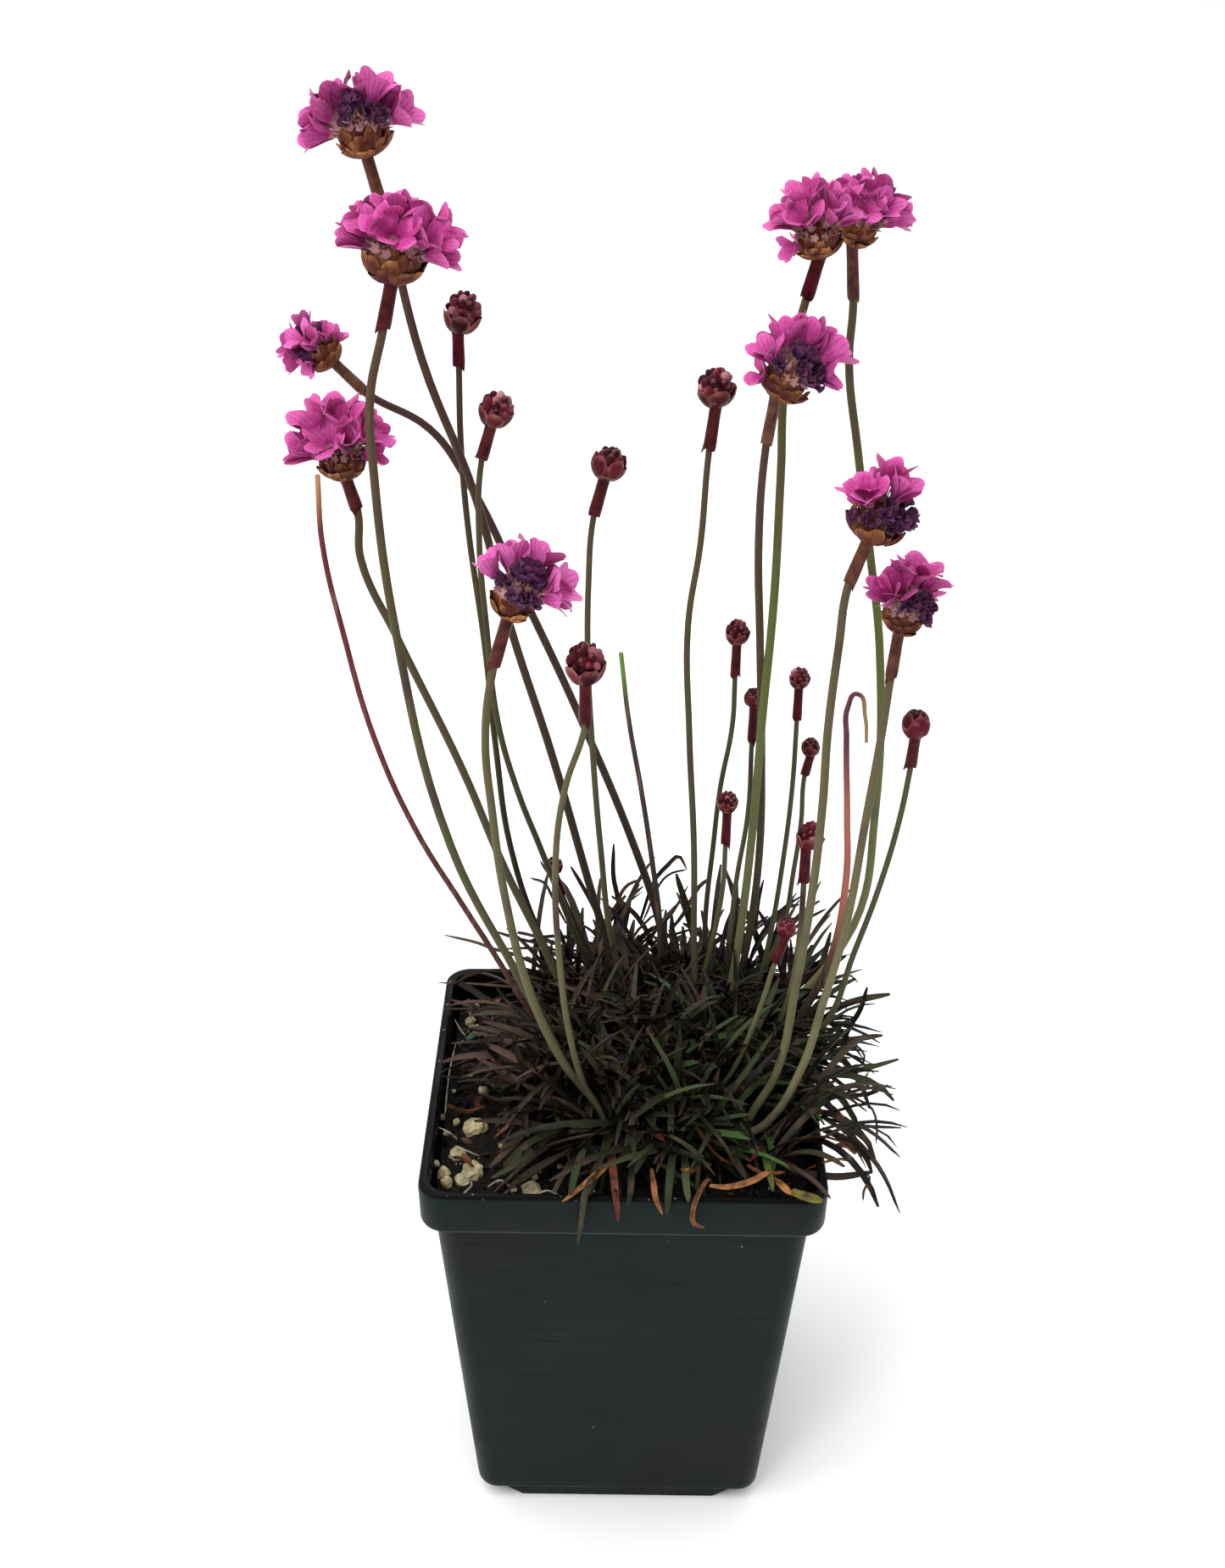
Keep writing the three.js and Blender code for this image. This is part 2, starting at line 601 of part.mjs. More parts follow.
// The leaf itself: a three-sided needle bent along its line, flat on top.
function leafGeometry(line, width) {
  const geometry = new THREE.ConeGeometry(1, 1, 3, LEAF_STEPS);
  geometry.rotateY(Math.PI);
  const position = geometry.getAttribute('position');
  const widthAt = [0, 0.86, 1, 0.8];
  for (let i = 0; i < position.count; i += 1) {
    const share = position.getY(i) + 0.5;
    const station = Math.round(share * LEAF_STEPS);
    const here = line[station];
    const ahead = line[Math.min(station + 1, LEAF_STEPS)];
    const behind = line[Math.max(station - 1, 0)];
    const along = ahead.clone().sub(behind).normalize();
    const side = along.clone().cross(UP).normalize();
    const over = side.clone().cross(along);
    const full = 1 - share;
    const scale = full > 0.001 ? widthAt[LEAF_STEPS - station] / full : 0;
    const across = position.getX(i) * scale * width / Math.sqrt(3);
    const up = position.getZ(i) * scale * LEAF.thickness / 1.5;
    const p = here.clone().addScaledVector(side, across).addScaledVector(over, up);
    position.setXYZ(i, p.x, p.y, p.z);
  }
  return geometry;
}

function crownGeometry() {
  const profile = [[0, 0], [1, 0], [0.95, 0.3], [0.72, 0.68], [0.4, 0.92], [0, 1]];
  const geometry = scaledLathe(profile, CROWN_SIDES, CROWN_SIDES / 2, 0.03);
  geometry.scale(CROWN.halfX, CROWN.halfY, CROWN.height);
  geometry.translate(CROWN.x, CROWN.y, SOIL_TOP + GAP);
  return geometry;
}

function leafTuftGeometry(stalkCurves) {
  const random = seeded(LEAF_SEED);
  const pieces = [];
  for (let r = 0; r < ROSETTES; r += 1) {
    const share = Math.sqrt((r + 0.5) / ROSETTES);
    const turn = r * GOLDEN_ANGLE;
    const middle = new THREE.Vector3(
      CROWN.x + ROSETTE_COVER * share * CROWN.halfX * Math.cos(turn),
      CROWN.y + ROSETTE_COVER * share * CROWN.halfY * Math.sin(turn),
      SOIL_TOP + ROSETTE_LIFT + 0.6 * CROWN.height * (1 - share * share),
    );
    for (let k = 0; k < LEAVES_PER_ROSETTE; k += 1) {
      const outer = (k + 0.5) / LEAVES_PER_ROSETTE;
      const length = THREE.MathUtils.lerp(LEAF.shortest, LEAF.longest, random());
      for (let attempt = 0; attempt < LEAF_TRIES; attempt += 1) {
        const azimuth = k * GOLDEN_ANGLE + turn + 0.35 * attempt * (random() - 0.5);
        const rise = THREE.MathUtils.degToRad(
          THREE.MathUtils.lerp(LEAF_RISE.inner, LEAF_RISE.outer, outer)
          + LEAF_RISE.loose * (random() - 0.5),
        );
        const fall = THREE.MathUtils.degToRad(
          THREE.MathUtils.lerp(LEAF_BEND.least, LEAF_BEND.most, random()),
        );
        const root = middle.clone();
        root.x += ROSETTE_RADIUS * Math.cos(azimuth);
        root.y += ROSETTE_RADIUS * Math.sin(azimuth);
        const line = leafLine(root, azimuth, rise, fall, length);
        const samples = samplesOf(line);
        const isFree = samples.every((p) => isClear(p, LEAF.width / 2));
        if (isFree && !crossesLeaf(samples)) {
          grownLeaves.push(samples);
          pieces.push(leafGeometry(line, LEAF.width));
          break;
        }
      }
    }
  }
  // Each stalk stands in a plain hole in the crown.
  const holes = stalkCurves.flatMap(({ curve, radius, steps }) => {
    const wide = radius / Math.cos(Math.PI / STALK_SIDES) + GAP;
    const foot = curve.getPoint(1);
    const well = new THREE.CylinderGeometry(wide, wide, 4, STALK_SIDES + 1);
    well.rotateX(Math.PI / 2);
    well.translate(foot.x, foot.y, foot.z);
    return [rod(curve, wide, steps), well];
  });
  const grown = fuse([crownGeometry(), ...pieces]);
  return geometryOf(grown.subtract(fuse(holes)));
}

const plant = new THREE.Group();
const pot = new THREE.Group();
const thrift = new THREE.Group();
thrift.add(pot, plant);

function addPiece(group, name, geometry, material) {
  const mesh = new THREE.Mesh(geometry, material);
  mesh.name = name;
  group.add(mesh);
}

const stalkCurves = [];

// A stalk's rod along its route, noted for the crown's holes and the leaves' clearance.
function growStalk(route, radius, steps) {
  const curve = curveOf(stalkPoints(route));
  stalkCurves.push({ curve, radius, steps });
  keepClear(curve, radius);
  return rod(curve, radius, steps);
}

addPiece(pot, 'pot', potGeometry(), POT_PLASTIC);
const hollows = PERLITE.map((lump, i) => perliteGeometry(lump, i + 1, GAP + 0.1));
addPiece(pot, 'soil', geometryOf(soilSolid().subtract(fuse(hollows))), SOIL_MIX);
PERLITE.forEach((lump, i) => {
  const geometry = perliteGeometry(lump, i + 1);
  addPiece(pot, `perlite_${i + 1}`, geometryOf(solidOf(geometry)), PERLITE_WHITE);
  obstacles.push({ p: new THREE.Vector3(...lump.at, SOIL_TOP), radius: lump.radius });
});

FLOWERS.forEach((flower, i) => {
  const base = vector(flower.route[0]);
  const axis = headAxis(flower);
  const stalk = fuse([
    growStalk(flower.route, FLOWER_STALK_RADIUS, FLOWER_STALK_STEPS),
    sheathGeometry(flower.route, FLOWER_STALK_RADIUS),
    placed(cupGeometry(flower.radius), base, axis),
  ]);
  addPiece(plant, `flower_${i + 1}_stalk`, geometryOf(stalk), STALK_OLIVE);
  const florets = placed(floretsGeometry(flower, 100 + i), base, axis);
  addPiece(plant, `flower_${i + 1}_florets`, florets, PETAL_PINK);
});

BUDS.forEach((bud, i) => {
  // The bare stalk starts just under its sheath.
  const sheathEnd = vector(bud.route[1]);
  const below = vector(bud.route[2]).sub(sheathEnd).normalize();
  const start = sheathEnd.addScaledVector(below, GAP + 0.15).toArray();
  const stem = growStalk([start, ...bud.route.slice(2)], BUD_STALK_RADIUS, BUD_STALK_STEPS);
  addPiece(plant, `bud_${i + 1}_stem`, geometryOf(solidOf(stem)), STALK_OLIVE);
  addPiece(plant, `bud_${i + 1}_head`, budGeometry(bud), BUD_MAROON);
  obstacles.push({ p: vector(bud.middle), radius: bud.radius });
  obstacles.push({ p: vector(bud.route[1]), radius: BUD_STALK_RADIUS + 2 * SHEATH_EXTRA });
});

BARE_STALKS.forEach((stalk) => {
  const stem = growStalk(stalk.route, BARE_STALK_RADIUS, BARE_STALK_STEPS);
  addPiece(plant, stalk.name, geometryOf(solidOf(stem)), finish(stalk.colour, 0.6));
});

addPiece(plant, 'leaf_tuft', leafTuftGeometry(stalkCurves), LEAF_GREEN);

export default thrift;
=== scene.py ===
import math
import random

import bpy
import numpy as np
from mathutils import Matrix, Vector


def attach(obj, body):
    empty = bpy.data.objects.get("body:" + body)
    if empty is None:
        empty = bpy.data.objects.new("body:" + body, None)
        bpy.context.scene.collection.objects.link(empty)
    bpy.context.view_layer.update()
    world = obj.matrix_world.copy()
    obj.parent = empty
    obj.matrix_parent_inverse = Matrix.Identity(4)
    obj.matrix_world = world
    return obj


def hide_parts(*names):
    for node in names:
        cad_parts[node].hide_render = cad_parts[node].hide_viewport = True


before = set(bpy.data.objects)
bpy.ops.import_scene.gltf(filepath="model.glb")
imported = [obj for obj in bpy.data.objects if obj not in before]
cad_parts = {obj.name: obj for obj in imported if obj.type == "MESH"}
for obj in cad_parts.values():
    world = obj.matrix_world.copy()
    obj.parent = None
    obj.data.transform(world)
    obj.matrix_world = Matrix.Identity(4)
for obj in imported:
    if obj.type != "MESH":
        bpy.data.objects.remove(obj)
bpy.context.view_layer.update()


# The view. The potted plant stands on a plain pale floor and is seen from in front and a
# little above, in soft even daylight that comes mostly from overhead.
MM = 0.001
EYE = Vector((-3.471, -377.805, 381.81)) * MM
LOOK_DOWN = math.radians(28.21)
ROLL = math.radians(0.76)
LENS = 45.71


def deselect_all():
    bpy.ops.object.select_all(action="DESELECT")


def added(name, make, **settings):
    """A new object made by one of Blender's own tools and alone in the selection."""
    deselect_all()
    make(**settings)
    piece = bpy.context.object
    piece.name = name
    return piece


def aimed(place, target):
    """The turn that makes a lamp at one place shine on another."""
    return (Vector(target) - Vector(place)).to_track_quat("-Z", "Y").to_euler()


ahead = Vector((0, math.cos(LOOK_DOWN), -math.sin(LOOK_DOWN)))
below = Vector((0, -math.sin(LOOK_DOWN), -math.cos(LOOK_DOWN)))
aside = Vector((1, 0, 0))
camera_x = math.cos(ROLL) * aside - math.sin(ROLL) * below
camera_y = -(math.sin(ROLL) * aside + math.cos(ROLL) * below)
camera = added("camera", bpy.ops.object.camera_add)
turn = Matrix((camera_x, camera_y, -ahead)).transposed().to_4x4()
camera.matrix_world = Matrix.Translation(EYE) @ turn
camera.data.lens = LENS
camera.data.clip_start = 0.01
bpy.context.scene.camera = camera

LAMPS = (
    # Where each lamp hangs and what it points at, in metres, its width and its power.
    ("overhead", (-0.3, -0.2, 1.2), (0, 0, 0.15), 0.9, 6.0),
    ("left_window", (-1.0, -0.3, 0.75), (0, 0, 0.15), 0.8, 3.0),
    ("near_lamp", (-0.45, -0.8, 0.95), (0, 0, 0.15), 0.3, 2.6),
    ("behind", (0.2, 0.95, 0.9), (0, 0, 0.15), 0.8, 3.0),
    ("far_floor", (0, 2.5, 1.6), (0, 2.6, 0), 2.6, 6.0),
)
for lamp_name, lamp_place, target, lamp_size, lamp_power in LAMPS:
    lamp = added(
        lamp_name, bpy.ops.object.light_add,
        type="AREA", location=lamp_place, rotation=aimed(lamp_place, target),
    )
    lamp.data.size = lamp_size
    lamp.data.energy = lamp_power

bpy.context.scene.view_settings.view_transform = "Standard"


def feed(tree, socket, value):
    """Links a value to a socket, or sets it there."""
    if isinstance(value, bpy.types.NodeSocket):
        tree.links.new(value, socket)
    else:
        socket.default_value = value


def node(tree, kind, settings=None, **inputs):
    """A shader node with its settings, its values and its links."""
    made = tree.nodes.new(kind)
    for key, value in (settings or {}).items():
        setattr(made, key, value)
    for key, value in inputs.items():
        feed(tree, made.inputs[key.replace("_", " ")], value)
    return made


def finish(name, **shader_values):
    """A new material with its tree, its shader and the place on the object."""
    material = bpy.data.materials.new(name)
    material.use_nodes = True
    shader = material.node_tree.nodes["Principled BSDF"]
    for key, value in shader_values.items():
        shader.inputs[key.replace("_", " ")].default_value = value
    tree = material.node_tree
    return material, tree, shader, node(tree, "ShaderNodeTexCoord").outputs["Object"]


def blend_of(tree, factor, low, high):
    """A mix of two colours."""
    mix = tree.nodes.new("ShaderNodeMix")
    mix.data_type = "RGBA"
    for socket, value in ((mix.inputs[0], factor), (mix.inputs[6], low), (mix.inputs[7], high)):
        feed(tree, socket, (*value, 1) if isinstance(value, tuple) else value)
    return mix.outputs[2]


def shares(tree, value, low, high):
    """How far a value has come from low to high, kept between 0 and 1."""
    return node(tree, "ShaderNodeMapRange", Value=value, From_Min=low, From_Max=high).outputs[0]


def worked_out(tree, operation, *values):
    """The result of one sum on one or two values."""
    sum_node = node(tree, "ShaderNodeMath", {"operation": operation})
    for socket, value in zip(sum_node.inputs, values):
        feed(tree, socket, value)
    return sum_node.outputs[0]


def noise_of(tree, place, scale, detail=2.0):
    """A cloudy noise at a place."""
    return node(tree, "ShaderNodeTexNoise", Vector=place, Scale=scale, Detail=detail).outputs[0]


# Daylight that is stronger overhead than along the horizon.
sky = bpy.data.worlds.new("even_daylight")
sky.use_nodes = True
tree = sky.node_tree
upward = node(
    tree, "ShaderNodeSeparateXYZ", Vector=node(tree, "ShaderNodeTexCoord").outputs["Generated"]
).outputs["Z"]
daylight = blend_of(tree, shares(tree, upward, 0.1, 0.75), (0.5, 0.51, 0.52), (1.05, 1.06, 1.08))
tree.links.new(daylight, tree.nodes["Background"].inputs["Color"])
bpy.context.scene.world = sky

FLOOR_PALE = (0.95, 0.95, 0.94)
FLOOR_PALER = (0.97, 0.97, 0.965)
floor_finish, tree, shader, spot = finish("pale_floor", Roughness=0.9)
clouding = noise_of(tree, spot, 1.5)
tree.links.new(blend_of(tree, clouding, FLOOR_PALE, FLOOR_PALER), shader.inputs["Base Color"])
floor = added("floor", bpy.ops.mesh.primitive_plane_add, size=14)
floor.data.materials.append(floor_finish)


# The pot. A square nursery pot in black-green plastic, moulded in one piece: tapered walls,
# a rolled rim with a skirt, and a foot of two crossed bars that lifts its holed corners.
POT_CORNER = 4.3
POT_CORNER_SEGMENTS = 8
FOOT_LEVEL = 3.2
FOOT_HALF = 32
POT_LEVELS = (
    # Half width and height, up the outside, over the rim and down the inside.
    (32.9, 3.35), (33.45, 3.8), (33.75, 4.6), (33.95, 6.4), (37.6, 48), (41.15, 89),
    (41.4, 91.6), (41.75, 91.75), (43.6, 91.8), (44.05, 92.1), (44.25, 92.8), (44.5, 100.9),
    (44.42, 101.5), (44.15, 101.9), (43.8, 102), (42.9, 102), (42.6, 101.85), (42.4, 101.4),
    (42.0, 92.6), (41.5, 91.9), (40.0, 90.4), (37.0, 50), (32.5, 5.2),
)
FOOT_BAR = {"half_width": 23, "reach": 32.2, "slope": 5, "splay": 0.8, "sunk": 0.9}
DRAIN = {"radius": 2.6, "place": 27.6, "depth": 12, "level": 4}


def rounded_plate(name, half, corner, height):
    """A square plate with rounded corners, left in edit mode with its face selected."""
    plate = added(
        name, bpy.ops.mesh.primitive_plane_add, size=2 * half * MM, location=(0, 0, height * MM)
    )
    bpy.ops.object.mode_set(mode="EDIT")
    bpy.ops.mesh.select_all(action="SELECT")
    bpy.ops.mesh.bevel(offset=corner * MM, segments=POT_CORNER_SEGMENTS, affect="VERTICES")
    bpy.ops.mesh.select_all(action="SELECT")
    return plate


def drawn_up(half, height, levels):
    """Draws the selected face up through levels of half width and height."""
    for next_half, next_height in levels:
        rise = (next_height - height) * MM
        bpy.ops.mesh.extrude_region_move(TRANSFORM_OT_translate={"value": (0, 0, rise)})
        share = next_half / half
        bpy.ops.transform.resize(
            value=(share, share, 1), center_override=(0, 0, next_height * MM)
        )
        half, height = next_half, next_height


def at_rest(piece):
    """Puts a piece's place into its mesh."""
    bpy.ops.object.mode_set(mode="OBJECT")
    deselect_all()
    piece.select_set(True)
    bpy.context.view_layer.objects.active = piece
    bpy.ops.object.transform_apply(location=True, rotation=True, scale=True)


def cut_or_joined(piece, other, operation):
    """Cuts another shape out of a piece, or joins it on."""
    change = piece.modifiers.new("change", "BOOLEAN")
    change.operation = operation
    change.solver = "EXACT"
    change.object = other
    deselect_all()
    bpy.context.view_layer.objects.active = piece
    bpy.ops.object.modifier_apply(modifier="change")
    bpy.data.objects.remove(other)


def belongs(piece, material, slot, *nodes):
    """Gives a piece its finish and its place in the frame."""
    piece.data.materials.clear()
    piece.data.materials.append(material)
    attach(piece, "root")
    if nodes:
        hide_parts(*nodes)


pot = rounded_plate("moulded_pot", FOOT_HALF, POT_CORNER, FOOT_LEVEL)
drawn_up(FOOT_HALF, FOOT_LEVEL, POT_LEVELS)
at_rest(pot)
bar_height = FOOT_LEVEL + FOOT_BAR["sunk"]
bar_half = FOOT_BAR["half_width"] + FOOT_BAR["slope"]
bar_reach = FOOT_BAR["reach"] + FOOT_BAR["splay"]
for quarter in range(2):
    bar = added(
        "foot_bar", bpy.ops.mesh.primitive_cube_add, size=2 * MM,
        location=(0, 0, bar_height / 2 * MM), scale=(bar_half, bar_reach, bar_height / 2),
    )
    at_rest(bar)
    for corner in bar.data.vertices:
        if corner.co.z < MM:
            corner.co.x *= FOOT_BAR["half_width"] / bar_half
            corner.co.y *= FOOT_BAR["reach"] / bar_reach
    bar.data.transform(Matrix.Rotation(quarter * math.pi / 2, 4, "Z"))
    cut_or_joined(pot, bar, "UNION")
for side_x in (-1, 1):
    for side_y in (-1, 1):
        out = DRAIN["place"]
        drain = added(
            "drain_hole", bpy.ops.mesh.primitive_cylinder_add, vertices=24,
            radius=DRAIN["radius"] * MM, depth=DRAIN["depth"] * MM,
            location=(side_x * out * MM, side_y * out * MM, DRAIN["level"] * MM),
        )
        at_rest(drain)
        cut_or_joined(pot, drain, "DIFFERENCE")
deselect_all()
pot.select_set(True)
bpy.context.view_layer.objects.active = pot
bpy.ops.object.shade_smooth_by_angle(angle=math.radians(32))


def effect(name, inputs, outputs):
    """An empty shader node group with its named sockets."""
    group = bpy.data.node_groups.new(name, "ShaderNodeTree")
    for socket_name, kind, value in inputs:
        socket = group.interface.new_socket(socket_name, in_out="INPUT", socket_type=kind)
        if value is not None:
            socket.default_value = value
    for socket_name, kind in outputs:
        group.interface.new_socket(socket_name, in_out="OUTPUT", socket_type=kind)
    given = group.nodes.new("NodeGroupInput").outputs
    return group, given, group.nodes.new("NodeGroupOutput").inputs


def placed_effect(tree, group, **inputs):
    """A node group placed in a material."""
    return node(tree, "ShaderNodeGroup", {"node_tree": group}, **inputs).outputs


# Two colours that cloud into each other, as in moulded plastic, leaf skin or peat.
clouded, given, out = effect(
    "clouded",
    (("Place", "NodeSocketVector", None), ("Scale", "NodeSocketFloat", 50.0),
     ("Low", "NodeSocketColor", None), ("High", "NodeSocketColor", None)),
    (("Color", "NodeSocketColor"), ("Value", "NodeSocketFloat")),
)
sharper = shares(clouded, noise_of(clouded, given["Place"], given["Scale"], 4.0), 0.32, 0.68)
clouded.links.new(blend_of(clouded, sharper, given["Low"], given["High"]), out["Color"])
clouded.links.new(sharper, out["Value"])

# A fine skin of bumps.
grained, given, out = effect(
    "grained",
    (("Place", "NodeSocketVector", None), ("Scale", "NodeSocketFloat", 800.0),
     ("Strength", "NodeSocketFloat", 0.3), ("Depth", "NodeSocketFloat", 0.0001)),
    (("Normal", "NodeSocketVector"),),
)
bump = node(
    grained, "ShaderNodeBump", Height=noise_of(grained, given["Place"], given["Scale"], 3.0),
    Strength=given["Strength"], Distance=given["Depth"],
)
grained.links.new(bump.outputs[0], out["Normal"])


def skinned(tree, shader, place, scale, strength, depth):
    """Gives a material its fine skin."""
    skin = placed_effect(
        tree, grained, Place=place, Scale=scale, Strength=strength, Depth=depth
    )
    tree.links.new(skin["Normal"], shader.inputs["Normal"])


# Small specks of dust and grit, one in a few of its cells.
specked, given, out = effect(
    "specked",
    (("Place", "NodeSocketVector", None), ("Scale", "NodeSocketFloat", 200.0),
     ("Size", "NodeSocketFloat", 0.1), ("Rarity", "NodeSocketFloat", 0.85)),
    (("Mask", "NodeSocketFloat"),),
)
cells = node(specked, "ShaderNodeTexVoronoi", Vector=given["Place"], Scale=given["Scale"])
near = worked_out(specked, "LESS_THAN", cells.outputs["Distance"], given["Size"])
pick = node(specked, "ShaderNodeSeparateColor", Color=cells.outputs["Color"]).outputs[0]
chosen = worked_out(specked, "GREATER_THAN", pick, given["Rarity"])
specked.links.new(worked_out(specked, "MULTIPLY", near, chosen), out["Mask"])

pot_plastic, tree, shader, spot = finish("pot_plastic", Specular_IOR_Level=0.07)
plastic = placed_effect(
    tree, clouded, Place=spot, Scale=34.0,
    Low=(0.0053, 0.0108, 0.0106, 1), High=(0.0078, 0.0136, 0.0132, 1),
)
broad = noise_of(tree, spot, 22.0, 2.0)
cast = blend_of(tree, shares(tree, broad, 0.5, 0.72), plastic["Color"], (0.011, 0.0088, 0.0105))
along = node(tree, "ShaderNodeMapping", Vector=spot, Scale=(1, 1, 26)).outputs[0]
rubbed = noise_of(tree, along, 34.0, 4.0)
scratched = blend_of(tree, shares(tree, rubbed, 0.62, 0.76), cast, (0.0028, 0.0052, 0.005))
dust = placed_effect(tree, specked, Place=spot, Scale=190.0, Size=0.045, Rarity=0.6)["Mask"]
dusted = blend_of(tree, dust, scratched, (0.13, 0.125, 0.105))
sides = node(tree, "ShaderNodeSeparateXYZ", Vector=spot).outputs
height = sides["Z"]
from_middle = [worked_out(tree, "ABSOLUTE", sides[side]) for side in ("X", "Y")]
widest = worked_out(tree, "MAXIMUM", *from_middle)
# The inner wall above the soil and the top of the rim are painted near-black: painted shade, with
# small specks of real dust in it.
inner_wall = shares(tree, widest, 0.0428, 0.0425)
inside_rim = worked_out(tree, "MULTIPLY", inner_wall, shares(tree, height, 0.0918, 0.0922))
painted_rim_shade = worked_out(tree, "MAXIMUM", inside_rim, shares(tree, height, 0.1013, 0.1017))
# A lighter line just under the skirt: a painted highlight where its lower edge catches the light.
skirt_highlight = worked_out(
    tree, "MULTIPLY", shares(tree, height, 0.0914, 0.0918), shares(tree, height, 0.0928, 0.0923)
)
painted_bands = blend_of(tree, skirt_highlight, dusted, (0.03, 0.038, 0.037))
# A darker band low on the wall above the foot: painted shade that hides the light thrown up from the
# floor.
foot_shade = worked_out(
    tree, "MULTIPLY", shares(tree, height, 0.0054, 0.0044), shares(tree, height, 0.0026, 0.0031)
)
painted_bands = blend_of(tree, foot_shade, painted_bands, (0.0016, 0.0032, 0.0031))
dirt = placed_effect(tree, specked, Place=spot, Scale=900.0, Size=0.3, Rarity=0.9)["Mask"]
# Near-black painted shade for the rim, flecked with specks of dust.
shade_and_dust = blend_of(tree, dirt, (0.0011, 0.0011, 0.001), (0.11, 0.1, 0.085))
tree.links.new(blend_of(tree, painted_rim_shade, painted_bands, shade_and_dust), shader.inputs["Base Color"])
scuffs = noise_of(tree, spot, 60.0, 6.0)
gloss = node(
    tree, "ShaderNodeMapRange", Value=scuffs, From_Min=0.3, From_Max=0.7, To_Min=0.33, To_Max=0.5
).outputs[0]
tree.links.new(gloss, shader.inputs["Roughness"])
skinned(tree, shader, spot, scale=900.0, strength=0.18, depth=0.0002)
belongs(pot, pot_plastic, "pot_plastic", "pot")


# The soil. A dark mix of peat and shredded bark, settled a few millimetres below the rim,
# crumbly on top, with loose chips of bark lying in it.
SOIL_LEVEL = 95
SOIL_HALF = 41.0
SOIL_GRID = 100
# Each relief of the soil's top, how broad it is and how high.
SOIL_RELIEF = (("heaps", 12, 2.6), ("crumbs", 3, 1.9), ("grit", 1.1, 0.9))
# How far the soil reaches down in two steps, and how much it narrows in each.
SOIL_SIDES = ((3.0, 0.99), (82.0, 0.82))
SOIL_SEED = 21
CHIP_SORTS = 6
CHIPS = 1500
CHIP_WIDTHS = (0.45, 0.6, 0.8, 1.0, 1.4, 2.0)
CROWN_MIDDLE = (6, 4)


def corner_kept(x, y, half, corner):
    """Pulls a place inside a square's rounded corner."""
    over_x = abs(x) - (half - corner)
    over_y = abs(y) - (half - corner)
    reach = math.hypot(max(over_x, 0), max(over_y, 0))
    if over_x <= 0 or over_y <= 0 or reach <= corner:
        return x, y
    keep = corner / reach
    return (
        math.copysign(half - corner + over_x * keep, x),
        math.copysign(half - corner + over_y * keep, y),
    )


soil = added(
    "peat_soil", bpy.ops.mesh.primitive_grid_add,
    x_subdivisions=SOIL_GRID, y_subdivisions=SOIL_GRID, size=2 * SOIL_HALF * MM,
)
for point in soil.data.vertices:
    x, y = corner_kept(point.co.x / MM, point.co.y / MM, SOIL_HALF, POT_CORNER)
    point.co = Vector((x, y, SOIL_LEVEL)) * MM
for texture_name, size_mm, strength_mm in SOIL_RELIEF:
    relief = bpy.data.textures.new(texture_name, "CLOUDS")
    relief.noise_scale = size_mm * MM
    relief.noise_depth = 2
    raised = soil.modifiers.new("raised", "DISPLACE")
    raised.texture = relief
    raised.texture_coords = "LOCAL"
    raised.direction = "Z"
    raised.mid_level = 0.6
    raised.strength = strength_mm * MM
    bpy.ops.object.modifier_apply(modifier="raised")
bpy.ops.object.mode_set(mode="EDIT")
bpy.ops.mesh.select_all(action="DESELECT")
bpy.ops.mesh.select_mode(type="EDGE")
bpy.ops.mesh.select_non_manifold()
for depth, share in SOIL_SIDES:
    bpy.ops.mesh.extrude_region_move(TRANSFORM_OT_translate={"value": (0, 0, -depth * MM)})
    bpy.ops.transform.resize(value=(share, share, 1), center_override=(0, 0, 0))
bpy.ops.mesh.edge_face_add()
bpy.ops.mesh.select_mode(type="VERT")
at_rest(soil)
bpy.ops.object.shade_smooth_by_angle(angle=math.radians(60))

peat, tree, shader, spot = finish("peat", Specular_IOR_Level=0.1)
broad = placed_effect(
    tree, clouded, Place=spot, Scale=160.0,
    Low=(0.0025, 0.0022, 0.002, 1), High=(0.011, 0.0085, 0.007, 1),
)
flecks = placed_effect(tree, specked, Place=spot, Scale=620.0, Size=0.3, Rarity=0.86)["Mask"]
tree.links.new(
    blend_of(tree, flecks, broad["Color"], (0.045, 0.033, 0.024)), shader.inputs["Base Color"]
)
wet = node(
    tree, "ShaderNodeMapRange", Value=broad["Value"], To_Min=0.55, To_Max=0.95
).outputs[0]
tree.links.new(wet, shader.inputs["Roughness"])
skinned(tree, shader, spot, scale=1100.0, strength=0.9, depth=0.0006)
belongs(soil, peat, "soil_mix", "soil")


def set_out(name, placings):
    """One piece grown out of many copies of small models, each a model, its place and the
    two numbers that its finish reads: tone, which is chance, and kind."""
    points, faces, maps, tones, kinds = [], [], [], [], []
    known = {}
    start = 0
    for model, place, tone, kind in placings:
        if model.name not in known:
            own = model.data
            spots = np.empty(len(own.vertices) * 3)
            own.vertices.foreach_get("co", spots)
            layer = np.zeros(len(own.loops) * 2)
            if own.uv_layers:
                own.uv_layers[0].data.foreach_get("uv", layer)
            known[model.name] = (
                spots.reshape(-1, 3), [list(face.vertices) for face in own.polygons], layer,
            )
        spots, rows, layer = known[model.name]
        turned = np.array(place.to_3x3())
        points.append(spots @ turned.T + np.array(place.translation))
        faces.extend([[start + corner for corner in row] for row in rows])
        maps.append(layer)
        tones.append(np.full(len(spots), tone))
        kinds.append(np.full(len(spots), kind))
        start += len(spots)
    mesh = bpy.data.meshes.new(name)
    mesh.from_pydata(np.concatenate(points), [], faces)
    mesh.uv_layers.new(name="UVMap").data.foreach_set("uv", np.concatenate(maps))
    for label, values in (("tone", tones), ("kind", kinds)):
        layer = mesh.attributes.new(label, "FLOAT", "POINT")
        layer.data.foreach_set("value", np.concatenate(values).astype(np.float32))
    mesh.shade_smooth()
    mesh.set_sharp_from_angle(angle=math.radians(65))
    mesh.update()
    piece = bpy.data.objects.new(name, mesh)
    bpy.context.scene.collection.objects.link(piece)
    return piece


def put_away(*models):
    """Removes models that have been set out."""
    for model in models:
        bpy.data.objects.remove(model)


